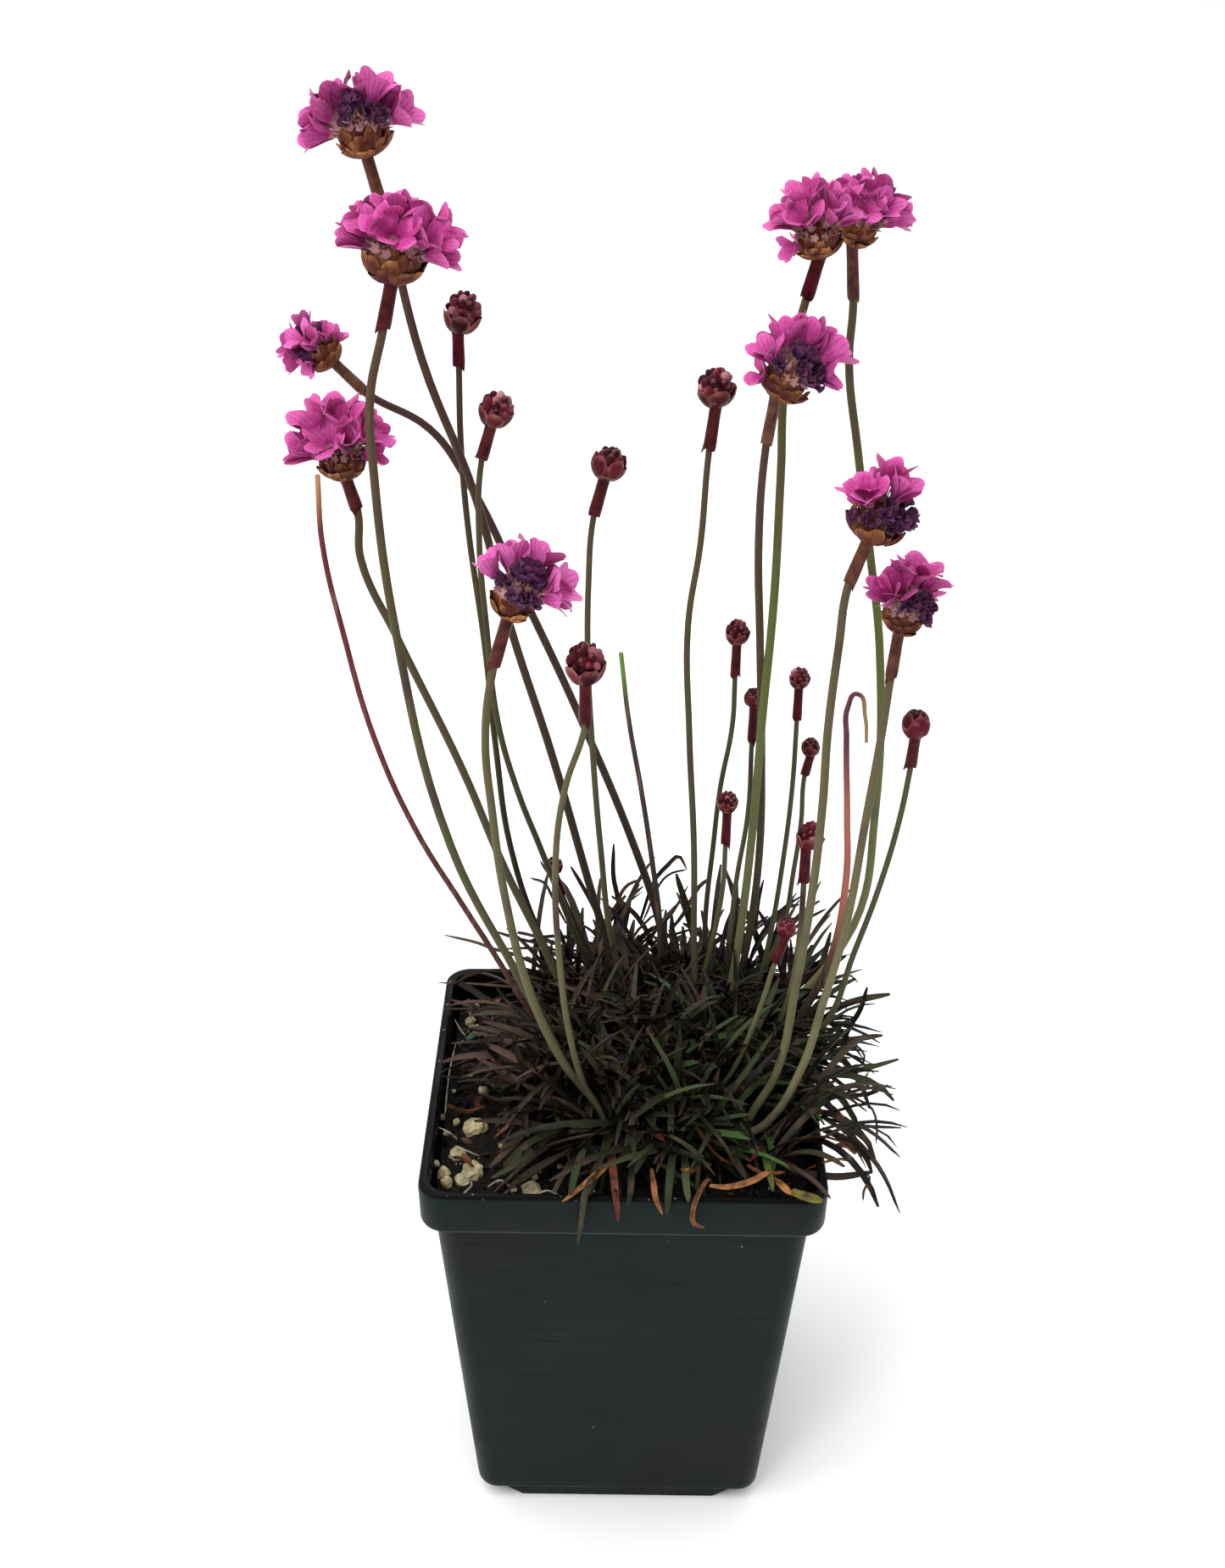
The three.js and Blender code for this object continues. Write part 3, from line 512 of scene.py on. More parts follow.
def place_of(at, turn=(0, 0, 0), size=1.0):
    """A place in millimetres, turned by degrees about X, Y and Z in that order."""
    grow = size if isinstance(size, tuple) else (size, size, size)
    matrix = Matrix.Translation(Vector(at) * MM)
    for axis, degrees in zip("ZYX", reversed(turn)):
        matrix = matrix @ Matrix.Rotation(math.radians(degrees), 4, axis)
    return matrix @ Matrix.Diagonal((*grow, 1))


def on_soil(chance, margin=1.5):
    """A place on the soil."""
    half = SOIL_HALF - margin
    return corner_kept(chance.uniform(-half, half), chance.uniform(-half, half), half, 5)


chance = random.Random(SOIL_SEED)
chips = []
for k in range(CHIP_SORTS):
    chip = added(f"chip_{k}", bpy.ops.mesh.primitive_ico_sphere_add, subdivisions=1, radius=MM)
    for point in chip.data.vertices:
        point.co.x *= chance.uniform(0.7, 1.3)
        point.co.y *= chance.uniform(0.35, 0.75)
        point.co.z *= chance.uniform(0.2, 0.45)
    chips.append(chip)
placings = []
for _ in range(CHIPS):
    x, y = on_soil(chance)
    width = chance.choice(CHIP_WIDTHS)
    lift = SOIL_LEVEL - 0.9 + chance.uniform(0, 1.1)
    turn = (chance.uniform(-25, 25), chance.uniform(-25, 25), chance.uniform(0, 360))
    placings.append((
        chance.choice(chips), place_of((x, y, lift), turn, width), chance.random(), 0
    ))
bark = set_out("bark_chips", placings)
put_away(*chips)
bark.data.shade_flat()


def own_value(tree, label):
    """The tone or kind that each copy in a grown piece carries."""
    return node(tree, "ShaderNodeAttribute", {"attribute_name": label}).outputs["Fac"]


def ramp_of(tree, factor, *stops):
    """A colour read off a row of stops, from 0 to 1."""
    ramp = node(tree, "ShaderNodeValToRGB", Fac=factor)
    row = ramp.color_ramp.elements
    for stop, colour in stops[1:-1]:
        row.new(stop).color = (*colour, 1)
    row[0].color = (*stops[0][1], 1)
    row[-1].color = (*stops[-1][1], 1)
    return ramp.outputs[0]


shredded_bark, tree, shader, spot = finish("shredded_bark", Roughness=0.75, Specular_IOR_Level=0.1)
browns = ramp_of(
    tree, own_value(tree, "tone"), (0, (0.003, 0.0027, 0.0025)), (0.6, (0.007, 0.0055, 0.0045)),
    (0.88, (0.016, 0.011, 0.008)), (0.965, (0.055, 0.03, 0.016)), (1, (0.2, 0.12, 0.06)),
)
fibre = noise_of(tree, spot, 900.0)
tree.links.new(
    blend_of(tree, fibre, browns, (0.012, 0.008, 0.006)), shader.inputs["Base Color"]
)
skinned(tree, shader, spot, scale=1500.0, strength=0.6, depth=0.0003)
belongs(bark, shredded_bark, "soil_mix")


# Perlite. Cream lumps of puffed rock mixed into the soil, pitted all over, with broken
# crumbs of it round the larger lumps.
PERLITE = (
    # The middle of each lump and its radius.
    ((-34, -12.5), 3.0), ((-33.5, -28), 2.8), ((-37.5, -22), 2.0), ((-20, -34), 2.3),
    ((-36.5, 25.5), 2.1),
)
perlite_finish, tree, shader, spot = finish("puffed_rock", Roughness=0.88)
cream = placed_effect(
    tree, clouded, Place=spot, Scale=420.0,
    Low=(0.26, 0.2, 0.09, 1), High=(0.54, 0.48, 0.3, 1),
)
tree.links.new(cream["Color"], shader.inputs["Base Color"])
skinned(tree, shader, spot, scale=1300.0, strength=0.8, depth=0.0005)
pits = bpy.data.textures.new("pits", "VORONOI")
pits.noise_scale = 1.3 * MM
for number, ((x, y), radius) in enumerate(PERLITE, 1):
    lump = added(
        f"perlite_lump_{number}", bpy.ops.mesh.primitive_ico_sphere_add,
        subdivisions=4, radius=radius * 0.9 * MM,
    )
    lying = (x, y, SOIL_LEVEL + 0.3 * radius)
    lump.data.transform(place_of(lying, (0, 0, 40 * number), (1, 0.9, 0.72)))
    pitted = lump.modifiers.new("pitted", "DISPLACE")
    pitted.texture = pits
    pitted.texture_coords = "LOCAL"
    pitted.mid_level = 0.4
    pitted.strength = 1.1 * MM
    bpy.ops.object.modifier_apply(modifier="pitted")
    bpy.ops.object.shade_smooth()
    belongs(lump, perlite_finish, "perlite", f"perlite_{number}")

# The crumbs that stand out, each its place and its radius, and how many lie scattered.
SCATTERED_CRUMBS = 150
PERLITE_CRUMBS = (
    ((-40, -28.5), 1.7), ((-39, -31.5), 1.5), ((-35.5, -30.5), 1.9), ((-42, -25), 1.0),
    ((-14, -25.5), 0.8), ((-24, -33.5), 0.9), ((-42, -8), 0.9), ((-40.5, -14), 0.8),
    ((-38.5, -10), 1.0), ((-37, 37.5), 1.0), ((-36.5, 7.5), 0.9), ((-27.5, -18.5), 0.8),
    ((-38, 30), 1.4), ((-33, 2), 1.3), ((-40, 2), 0.6), ((-13, -36.5), 0.7), ((-19.5, -29), 0.8),
    ((38, -33), 0.9), ((33, -40), 0.8), ((-41, -35), 0.7), ((-30, 37), 0.8), ((-22, 39), 0.7),
)
chance = random.Random(9)
crumbs = []
for k in range(3):
    crumb = added(f"crumb_{k}", bpy.ops.mesh.primitive_ico_sphere_add, subdivisions=2, radius=MM)
    for point in crumb.data.vertices:
        point.co *= chance.uniform(0.72, 1.12)
    crumbs.append(crumb)
placings = []
for (x, y), radius in PERLITE_CRUMBS:
    turn = [chance.uniform(0, 360) for _ in range(3)]
    placings.append((
        chance.choice(crumbs), place_of((x, y, SOIL_LEVEL + 0.35 * radius), turn, radius), 0, 0
    ))
for _ in range(SCATTERED_CRUMBS):
    x, y = on_soil(chance)
    size = chance.uniform(0.12, 0.34)
    lift = SOIL_LEVEL - 0.3 + chance.uniform(0, 0.6)
    placings.append((chance.choice(crumbs), place_of((x, y, lift), (0, 0, 0), size), 0, 0))
scattered = set_out("perlite_crumbs", placings)
put_away(*crumbs)
scattered.data.shade_flat()
belongs(scattered, perlite_finish, "perlite")

# One blue-green pellet of plant food beside the lump at the back.
pellet = added(
    "food_pellet", bpy.ops.mesh.primitive_uv_sphere_add,
    segments=20, ring_count=12, radius=1.45 * MM,
)
beside_lump = (-37.2, 22.6, SOIL_LEVEL + 0.9)
pellet.data.transform(place_of(beside_lump, (0, 0, 20), (1.15, 0.95, 0.85)))
bpy.ops.object.shade_smooth()
pellet_finish, tree, shader, spot = finish("blue_green_pellet", Roughness=0.6, Specular_IOR_Level=0.3)
coat = placed_effect(
    tree, clouded, Place=spot, Scale=700.0, Low=(0.01, 0.07, 0.055, 1), High=(0.03, 0.15, 0.11, 1)
)
tree.links.new(coat["Color"], shader.inputs["Base Color"])
belongs(pellet, pellet_finish, "soil_mix")


# The leaf cushion. Well over a thousand narrow dark leaves crowd out of low rosettes on a
# woody crown. The young ones stand up in the middle, the old ones arch out over the rim.
LEAF_ROWS = 8
LONG_LEAF_ROWS = 10
LEAF_THICKNESS = 0.3
LEAF_SEED = 4711
ROSETTES = 34
LEAVES_PER_ROSETTE = 50
ROSETTE_COVER = 0.8
CROWN_HALF = 33
CROWN_HEIGHT = 12
BACK_LEAVES = 90
SIDE_LEAVES = 110
MODELS_PER_SORT = 7
GOLDEN_TURN = 180 * (3 - math.sqrt(5))


def blade(name, columns, rows, shaped):
    """A thin closed blade: a grid for its face and a turned copy for its back, both bent by
    shaped(across, along, is_back) in millimetres, with their rims merged."""
    made = added(
        name, bpy.ops.mesh.primitive_grid_add, x_subdivisions=columns, y_subdivisions=rows, size=1
    )
    bpy.ops.object.mode_set(mode="EDIT")
    bpy.ops.mesh.select_all(action="SELECT")
    bpy.ops.mesh.duplicate_move()
    bpy.ops.mesh.flip_normals()
    bpy.ops.object.mode_set(mode="OBJECT")
    for point in made.data.vertices:
        point.co = shaped(point.co.x + 0.5, point.co.y + 0.5, point.select) * MM
    bpy.ops.object.mode_set(mode="EDIT")
    bpy.ops.mesh.select_all(action="SELECT")
    bpy.ops.mesh.remove_doubles(threshold=0.01 * MM)
    bpy.ops.object.mode_set(mode="OBJECT")
    return made


def table(values, share):
    """A value read off a row of evenly spaced ones."""
    reach = min(max(share, 0), 1) * (len(values) - 1)
    first = min(int(reach), len(values) - 2)
    return values[first] + (values[first + 1] - values[first]) * (reach - first)


LEAF_OUTLINE = (0.62, 0.8, 0.92, 1.0, 1.0, 0.98, 0.92, 0.8, 0.36)


def leaf_spine(length, bend, ease):
    """The leaf's middle line from its root, bending over towards +X."""
    spots = [Vector((0, 0, 0))]
    for row in range(LEAF_ROWS):
        angle = math.radians(bend) * ((row + 0.5) / LEAF_ROWS) ** ease
        step = Vector((math.sin(angle), 0, math.cos(angle))) * length / LEAF_ROWS
        spots.append(spots[-1] + step)
    return spots


def leaf_shape(length, width, bend, ease, twist):
    """The form of a leaf that bends over and twists evenly."""
    spots = leaf_spine(length, bend, ease)

    def shaped(across, along, is_back):
        angle = math.radians(bend) * along ** ease
        up = Vector((-math.cos(angle), 0, math.sin(angle)))
        turn = math.radians(twist) * along
        side = Vector((0, -math.cos(turn), 0)) + up * math.sin(turn)
        up = up * math.cos(turn) + Vector((0, math.sin(turn), 0))
        wide = width * table(LEAF_OUTLINE, along)
        off = across - 0.5
        lift = wide * 0.5 * abs(off)
        if is_back and abs(off) < 0.4 and 0 < along < 1:
            lift -= LEAF_THICKNESS
        return spots[round(along * LEAF_ROWS)] + side * off * wide + up * lift

    return shaped


def leaf_model(number, length, width, bend, ease, twist):
    """A leaf to copy, with the places along it that need room."""
    shape = leaf_shape(length, width, bend, ease, twist)
    model = blade(f"leaf_{number}", 2, LEAF_ROWS, shape)
    return model, [spot * MM for spot in leaf_spine(length, bend, ease)[2:]]


def on_route(route, share):
    """A place on the smooth line through the stops of a route."""
    stops = [Vector(stop) for stop in route]
    stops = [2 * stops[0] - stops[1], *stops, 2 * stops[-1] - stops[-2]]
    reach = min(max(share, 0), 0.9999) * (len(route) - 1)
    a, b, c, d = stops[int(reach):int(reach) + 4]
    t = reach % 1
    return 0.5 * (
        2 * b + (c - a) * t + (2 * a - 5 * b + 4 * c - d) * t * t + (3 * b - a - 3 * c + d) * t ** 3
    )


def long_leaf(name, route, width, roll, twist):
    """A leaf drawn along its route from root to tip, turned about its own line."""
    headings = []
    for row in range(LONG_LEAF_ROWS + 1):
        share = row / LONG_LEAF_ROWS
        step = on_route(route, share + 0.04) - on_route(route, share - 0.04)
        headings.append(step.normalized())
    side = headings[0].cross(Vector((0, 0, 1)))
    if side.length < 0.4:
        side = Vector((1, 0, 0))
    sides = []
    for heading in headings:
        side = (side - heading * side.dot(heading)).normalized()
        sides.append(side)

    def shaped(across, along, is_back):
        row = round(along * LONG_LEAF_ROWS)
        turn = Matrix.Rotation(math.radians(roll + twist * along), 3, headings[row])
        across_leaf = turn @ sides[row]
        up = across_leaf.cross(headings[row])
        wide = width * table(LEAF_OUTLINE, along)
        off = across - 0.5
        lift = wide * 0.45 * abs(off)
        if is_back and abs(off) < 0.4 and 0 < along < 1:
            lift -= LEAF_THICKNESS
        return on_route(route, along) + across_leaf * off * wide + up * lift

    return blade(name, 2, LONG_LEAF_ROWS, shaped)


# The lower ends of the front stalks, which lie on the leaves and stay in sight from in
# front and above.
BARE_ENDS = (
    (39, -19, 118), (37.5, -19.5, 114), (36, -20, 110.5), (34, -20, 107), (32, -20, 104),
    (30, -20.5, 102), (34, -16, 115), (32.5, -16, 111), (31, -16, 107.5), (29.5, -16, 104),
    (-14, -15, 117), (-12, -14.5, 113), (-10, -14, 108.5), (-7.5, -13.5, 104), (-9, -17, 112),
    (-6.5, -16.5, 106), (-5, -16, 102), (25, -8, 110), (23, -8, 106),
)
BARE_WIDTH = 2.3
FROM_FRONT = Vector((0, -0.72, 0.69))

# Where leaves may reach in X and in Y, where the rim begins and ends, how high it and the
# lowest hanging tip lie, and the patch of soil at the left that stays bare.
LEAF_REACH_X = (-44, 62.5)
LEAF_REACH_Y = (-46.3, 54.5)
RIM_INSIDE = 40
RIM_OUTSIDE = 46.3
OVER_RIM = 103.2
LOWEST_TIP = 84
BARE_PATCH = {"x": -28, "y": (-34, -7), "below": 106}


def has_room(place, spots):
    """Whether a leaf stays over the soil, above the rim and inside the plant's reach."""
    for spot in spots:
        x, y, z = place @ spot / MM
        for end in BARE_ENDS:
            apart = Vector((x, y, z)) - Vector(end)
            nearer = apart.dot(FROM_FRONT)
            if nearer > -1 and (apart - nearer * FROM_FRONT).length < BARE_WIDTH:
                return False
        reach = max(abs(x), abs(y))
        inside_x = LEAF_REACH_X[0] < x < LEAF_REACH_X[1]
        if not (inside_x and LEAF_REACH_Y[0] < y < LEAF_REACH_Y[1]):
            return False
        over_rim = OVER_RIM if reach < RIM_OUTSIDE else LOWEST_TIP
        if z < (SOIL_LEVEL + 0.8 if reach < RIM_INSIDE else over_rim):
            return False
        is_in_patch = BARE_PATCH["y"][0] < y < BARE_PATCH["y"][1] and z < BARE_PATCH["below"]
        if x < BARE_PATCH["x"] and is_in_patch:
            return False
    return True


# The photograph's size in its own pixels, and the width of the camera's film.
PHOTO_SIZE = (1445, 1850)
FILM = 36
PIXELS_DEEP = LENS / FILM * PHOTO_SIZE[1]
HEIGHTS_FROM = 90


def traced(spots):
    """A route from spots given on the photograph: each its column and its row, and then how far back
    it lies or, from HEIGHTS_FROM up, how high, in millimetres."""
    route = []
    for column, row, fixed in spots:
        across = (column - PHOTO_SIZE[0] / 2) / PIXELS_DEEP
        down = (row - PHOTO_SIZE[1] / 2) / PIXELS_DEEP
        sight = ahead + across * camera_x - down * camera_y
        axis = 2 if fixed > HEIGHTS_FROM else 1
        place = EYE / MM
        place += sight * (fixed - place[axis]) / sight[axis]
        route.append([round(2 * value) / 2 for value in place])
    return route


# The longest leaves, each where it grows: width, hue and spots from its root to its tip.
LONG_LEAVES = (
    (1.1, 0.25, ((726, 1108, 40), (729.7, 1068, 43), (724.5, 1032, 44), (723.9, 996, 44))),
    (0.9, 0.2, ((724, 1092, 41), (731, 1062, 43), (740, 1046, 44), (757, 1038, 44))),
    (0.9, 0.2, ((724, 1102, 41), (735, 1078, 43), (745, 1060, 44), (759, 1046, 44))),
    (1, 0.15, ((757, 1085, 42), (771, 1042, 45), (787, 1020, 46), (801, 1011, 46),
     (810, 1024, 46))),
    (0.9, 0.15, ((758, 1090, 42), (775, 1048, 44), (791, 1031, 45), (811, 1026, 45))),
    (1.5, 0.45, ((818, 1110, 38), (813, 1078, 41), (805, 1052, 42), (798, 1031, 42))),
    (1, 0.15, ((668, 1090, 38), (652, 1060, 42), (641, 1043, 43), (626, 1036, 43))),
    (0.8, 0.2, ((668, 1085, 40), (654, 1040, 43), (645, 1027, 43), (636, 1015, 43))),
    (1.1, 0.15, ((716, 1108, 38), (699, 1070, 42), (687, 1047, 43), (674, 1023, 43))),
    (1, 0.2, ((726, 1122, 36), (708, 1110, 38), (699, 1101, 39), (684, 1089, 39))),
    (1.1, 0.1, ((640, 1142, 32), (608, 1128, 35), (581, 1120, 36), (560, 1112, 36),
     (523, 1103, 36))),
    (1, 0.1, ((662, 1124, 34), (637, 1114, 37), (608, 1107, 38), (583, 1099, 38))),
    (0.9, 0.15, ((655, 1116, 36), (632, 1105, 38), (609, 1099, 38))),
    (0.9, 0.1, ((668, 1132, 32), (637, 1121, 34), (596, 1119, 34))),
    (1.1, 0.25, ((748, 1110, 36), (770, 1096, 39), (791, 1079, 41), (813, 1045, 42))),
    (1, 0.2, ((790, 1100, 38), (806, 1078, 40), (823, 1048, 41), (838, 1036, 41))),
    (1.1, 0.3, ((752, 1120, 34), (790, 1104, 36), (822, 1094, 37))),
    (1, 0.4, ((890, 1108, 36), (895, 1067, 42), (900, 1037, 42))),
    (1, 0.4, ((893, 1098, 38), (912, 1081, 42), (928, 1072, 42), (943, 1068, 42))),
    (1, 0.35, ((925, 1106, 36), (948, 1088, 40), (974, 1072, 40))),
    (0.9, 0.35, ((898, 1092, 38), (925, 1087, 40), (952, 1082, 40))),
    (1.3, 0.35, ((957, 1168, 24), (965, 1148, 26), (972, 1127, 28), (981, 1099, 28))),
    (1, 0.45, ((930, 1160, 24), (945, 1147, 26), (963, 1128, 27))),
    (1.2, 0.4, ((955, 1176, 20), (975, 1163, 22), (998, 1157, 22))),
    (1.7, 0.45, ((950, 1222, 10), (986, 1192, 14), (1012, 1181, 15), (1049, 1173, 15))),
    (1.2, 0.45, ((995, 1230, 8), (1005, 1208, 11), (1015, 1189, 12), (1024, 1165, 12))),
    (1.1, 0.35, ((950, 1216, 10), (990, 1206, 14), (1022, 1212, 14))),
    (1.6, 0.3, ((948, 1246, 4), (985, 1231, 8), (1018, 1226, 8), (1041, 1223, 8))),
    (0.6, 0.2, ((985, 1236, 4), (1007, 1231, 4), (1020, 1245, 4), (1014, 1258, 4),
     (993, 1262, 4))),
    (1.3, 0.6, ((925, 1285, -6), (965, 1269, -3), (1010, 1263, -2), (1061, 1249, -2))),
    (1.5, 0.4, ((955, 1272, -4), (985, 1290, -6), (1020, 1293, -6), (1048, 1280, -6))),
    (0.6, 0.1, ((980, 1262, 0), (1000, 1271, 2), (1017, 1274, 2), (1026, 1264, 2))),
    (0.7, 0.15, ((985, 1288, -6), (1010, 1296, -8), (1028, 1310, -8), (1034, 1332, -8),
     (1032, 1350, -8))),
    (0.9, 0.2, ((965, 1318, -12), (1008, 1328, -14), (1063, 1331, -14))),
    (1.5, 0.2, ((960, 1310, -14), (998, 1322, -18), (1032, 1338, -19), (1061, 1366, -19))),
    (1.3, 0.55, ((955, 1290, -10), (985, 1312, -14), (1004, 1330, -16), (1028, 1352, -17))),
    (2, 0.12, ((965, 1318, -18), (998, 1337, -23), (1027, 1366, -26), (1046, 1394, -27),
     (1062, 1432, -27.5))),
    (1.7, 0.05, ((968, 1332, -20), (995, 1345, -24), (1015, 1360, -26), (1028, 1385, -27))),
    (1.5, 0.12, ((925, 1380, -33), (958, 1386, -34), (992, 1388, -34), (1028, 1383, -34))),
    (0.6, 0.1, ((1018, 1382, -34), (1026, 1389, -34), (1018, 1404, -34), (1019, 1416, -34))),
    (1.7, 0, ((915, 1365, 104), (940, 1381, 104.5), (961, 1396, 104.5), (980, 1414, 104))),
    (1.3, 0.5, ((750, 1335, 100), (747, 1370, 104), (745, 1400, 105), (742, 1423, -46))),
    (1.7, 0.6, ((800, 1325, 103), (795, 1360, 105), (791, 1395, 105.5), (787, 1433, -46.3))),
    (1.5, 0.65, ((802, 1345, 102), (809, 1372, 104), (811, 1397, 105), (813, 1417, -45.8))),
    (1.4, 0.5, ((822, 1345, 102), (822, 1375, 104), (820, 1405, 104.5))),
    (1.5, 0.4, ((712, 1345, 102), (702, 1382, 105), (692, 1410, 105), (689, 1432, -46.2),
     (683, 1466, -46.8))),
    (1.3, 0.55, ((732, 1330, 102), (716, 1362, 103.5), (700, 1392, 104))),
    (1.3, 1, ((897, 1345, 102), (902, 1366, 104), (906, 1385, 104.5), (911, 1407, 104))),
    (1.6, 0.5, ((774, 1330, 103), (762, 1360, 105), (748, 1385, 105))),
    (1.5, 0.45, ((770, 1310, 106), (748, 1345, 107), (728, 1372, 104))),
    (1.5, 0.3, ((850, 1345, 103), (866, 1366, 104.5), (880, 1392, 104))),
    (0.8, 0.05, ((640, 1167, 103), (600, 1164, 105), (560, 1161, 105), (515, 1159, 104))),
    (1.5, 0.08, ((620, 1176, 100), (603, 1164, 103), (584, 1153, 104), (563, 1147, 103.5))),
    (1.7, 0.02, ((632, 1208, 100), (605, 1201, 103.5), (567, 1191, 104), (532, 1181, 103.8))),
    (1.1, 0.05, ((655, 1197, 101), (612, 1194, 104.5), (565, 1192, 105), (523, 1191, 104))),
    (1.2, 0.1, ((650, 1224, 101), (615, 1225, 104), (577, 1228, 104), (532, 1231, 103.6))),
    (1.2, 0.05, ((700, 1234, 104), (660, 1236, 106), (615, 1239, 105), (567, 1241, 102))),
    (1.2, 0.15, ((640, 1258, 101), (605, 1263, 103.5), (560, 1271, 104.5), (515, 1269, 104))),
    (1.4, 0.6, ((665, 1292, 99), (640, 1272, 103), (610, 1258, 103.5), (579, 1255, 101.5))),
    (1.2, 0.65, ((675, 1290, 99), (650, 1262, 103), (612, 1250, 104), (585, 1248, 103))),
    (1.3, 0.6, ((670, 1294, 99), (640, 1289, 102.5), (605, 1284, 102.5), (562, 1272, 100.5))),
    (1.4, 0.3, ((660, 1298, 99), (630, 1298, 101.5), (595, 1299, 101.5), (563, 1289, 100))),
    (1.3, 0.4, ((650, 1290, 99), (628, 1298, 102), (605, 1311, 101.5), (585, 1329, 98.5))),
    (1.6, 0.1, ((652, 1292, 101), (632, 1322, 104), (605, 1352, 102), (577, 1379, 98.3))),
    (1.9, 0.15, ((690, 1325, 102), (655, 1348, 104), (620, 1375, 102), (582, 1408, 98.3))),
    (1.4, 0.4, ((700, 1340, 102), (665, 1362, 103), (630, 1385, 101), (596, 1406, 98.3))),
    (1.3, 0.5, ((680, 1312, 102), (645, 1345, 103.5), (610, 1374, 101), (580, 1390, 98.2))),
    (1.7, 0.45, ((696, 1296, 104), (694, 1315, 105), (691, 1350, 102))),
    (1.6, 0.93, ((770, 1243, 110), (800, 1234, 114), (840, 1225, 116), (877, 1218, 115.5))),
    (1.5, 0.9, ((805, 1250, 106), (809, 1225, 112), (815, 1190, 119))),
    (1.3, 0.35, ((680, 1160, 110), (720, 1152, 116), (765, 1140, 119), (806, 1132, 118))),
    (1.7, 0.08, ((640, 1195, 106), (690, 1178, 113), (735, 1150, 117), (780, 1131, 118))),
    (1.5, 0.1, ((735, 1160, 113), (780, 1142, 118), (830, 1141, 119))),
    (1.4, 0.4, ((815, 1218, 108), (790, 1200, 114), (752, 1186, 115), (720, 1190, 112))),
    (1.4, 0.55, ((815, 1236, 107), (850, 1220, 112), (885, 1216, 113), (905, 1226, 110))),
    (1.3, 0.5, ((760, 1256, 105), (715, 1243, 110), (675, 1240, 109))),
    (1.5, 0.45, ((775, 1300, 104), (740, 1270, 109), (700, 1262, 108))),
)
chance = random.Random(LEAF_SEED)
LEAF_SORTS = (
    # Shortest, longest, least and most bend in degrees, from the middle outwards.
    (17, 25, 10, 60), (22, 32, 30, 95), (26, 38, 45, 125), (28, 42, 60, 150),
)
leaf_models = []
for shortest, longest, least, most in LEAF_SORTS:
    leaf_models.append([
        leaf_model(
            len(leaf_models) * MODELS_PER_SORT + k,
            chance.uniform(shortest, longest),
            chance.uniform(1.0, 1.65),
            chance.uniform(least, most),
            chance.uniform(0.8, 2.2),
            chance.uniform(-60, 60),
        )
        for k in range(MODELS_PER_SORT)
    ])
placings = []
for rosette in range(ROSETTES):
    share = math.sqrt((rosette + 0.5) / ROSETTES)
    turn = rosette * GOLDEN_TURN + chance.uniform(-12, 12)
    middle = Vector((
        CROWN_MIDDLE[0] + ROSETTE_COVER * share * CROWN_HALF * math.cos(math.radians(turn)),
        CROWN_MIDDLE[1] + ROSETTE_COVER * share * CROWN_HALF * math.sin(math.radians(turn)),
        SOIL_LEVEL + 1.5 + 0.6 * CROWN_HEIGHT * (1 - share * share),
    ))
    leaning = place_of(middle, (0, 34 * share, turn))
    age = chance.uniform(-0.14, 0.14)
    sparse = 0.42 if middle.x < -11 else 0.15 if middle.x < 0 and middle.y < -14 else 0
    for leaf in range(LEAVES_PER_ROSETTE):
        outer = (leaf + 0.5) / LEAVES_PER_ROSETTE
        if chance.random() < sparse:
            continue
        for attempt in range(8):
            azimuth = leaf * GOLDEN_TURN - turn + chance.uniform(-25, 25)
            spread = 6 + 58 * outer ** 0.8 + chance.uniform(-9, 9)
            sort = min(int(4 * outer + chance.uniform(-0.4, 0.6)), 3)
            model, spots = leaf_models[max(sort, 0)][chance.randrange(MODELS_PER_SORT)]
            root = Vector((1.2 + 2.6 * outer, 0, -1.5 * outer))
            place = leaning @ place_of((0, 0, 0), (0, 0, azimuth)) @ place_of(root, (0, spread, 0))
            place = place @ Matrix.Scale(chance.uniform(0.82, 1.12), 4)
            if has_room(place, spots):
                spot = place @ spots[3] / MM
                green = 0.4 + 0.009 * (spot.x - 4) - 0.004 * (spot.y - 4)
                green += age + chance.gauss(0, 0.13) - 0.08 * outer
                placings.append((model, place, chance.random(), min(max(green, 0), 0.9)))
                break
for _ in range(BACK_LEAVES):
    root = (chance.uniform(-24, 42), chance.uniform(22, 38), SOIL_LEVEL + 5)
    model, spots = leaf_models[chance.choice((0, 1, 1, 2))][chance.randrange(MODELS_PER_SORT)]
    turn = (0, chance.uniform(0, 38), chance.uniform(20, 170))
    place = place_of(root, turn, chance.uniform(0.9, 1.2))
    if has_room(place, spots):
        placings.append((model, place, chance.random(), chance.uniform(0, 0.5)))
for _ in range(SIDE_LEAVES):
    root = (chance.uniform(26, 40), chance.uniform(-32, 26), SOIL_LEVEL + 4)
    model, spots = leaf_models[chance.choice((1, 2, 2, 3))][chance.randrange(MODELS_PER_SORT)]
    turn = (0, chance.uniform(20, 66), chance.uniform(-70, 60))
    place = place_of(root, turn, chance.uniform(0.85, 1.1))
    if has_room(place, spots):
        placings.append((model, place, chance.random(), chance.uniform(0.1, 0.7)))
drawn = [
    long_leaf(
        f"long_leaf_{k}", traced(spots), 1.12 * width,
        chance.uniform(-28, 28), chance.uniform(-35, 35),
    )
    for k, (width, _, spots) in enumerate(LONG_LEAVES)
]
for leaf, (_, hue, _) in zip(drawn, LONG_LEAVES):
    placings.append((leaf, Matrix.Identity(4), chance.uniform(0.5, 1), hue))
leaves = set_out("leaf_cushion", placings)
put_away(*(model for sort in leaf_models for model, _ in sort), *drawn)

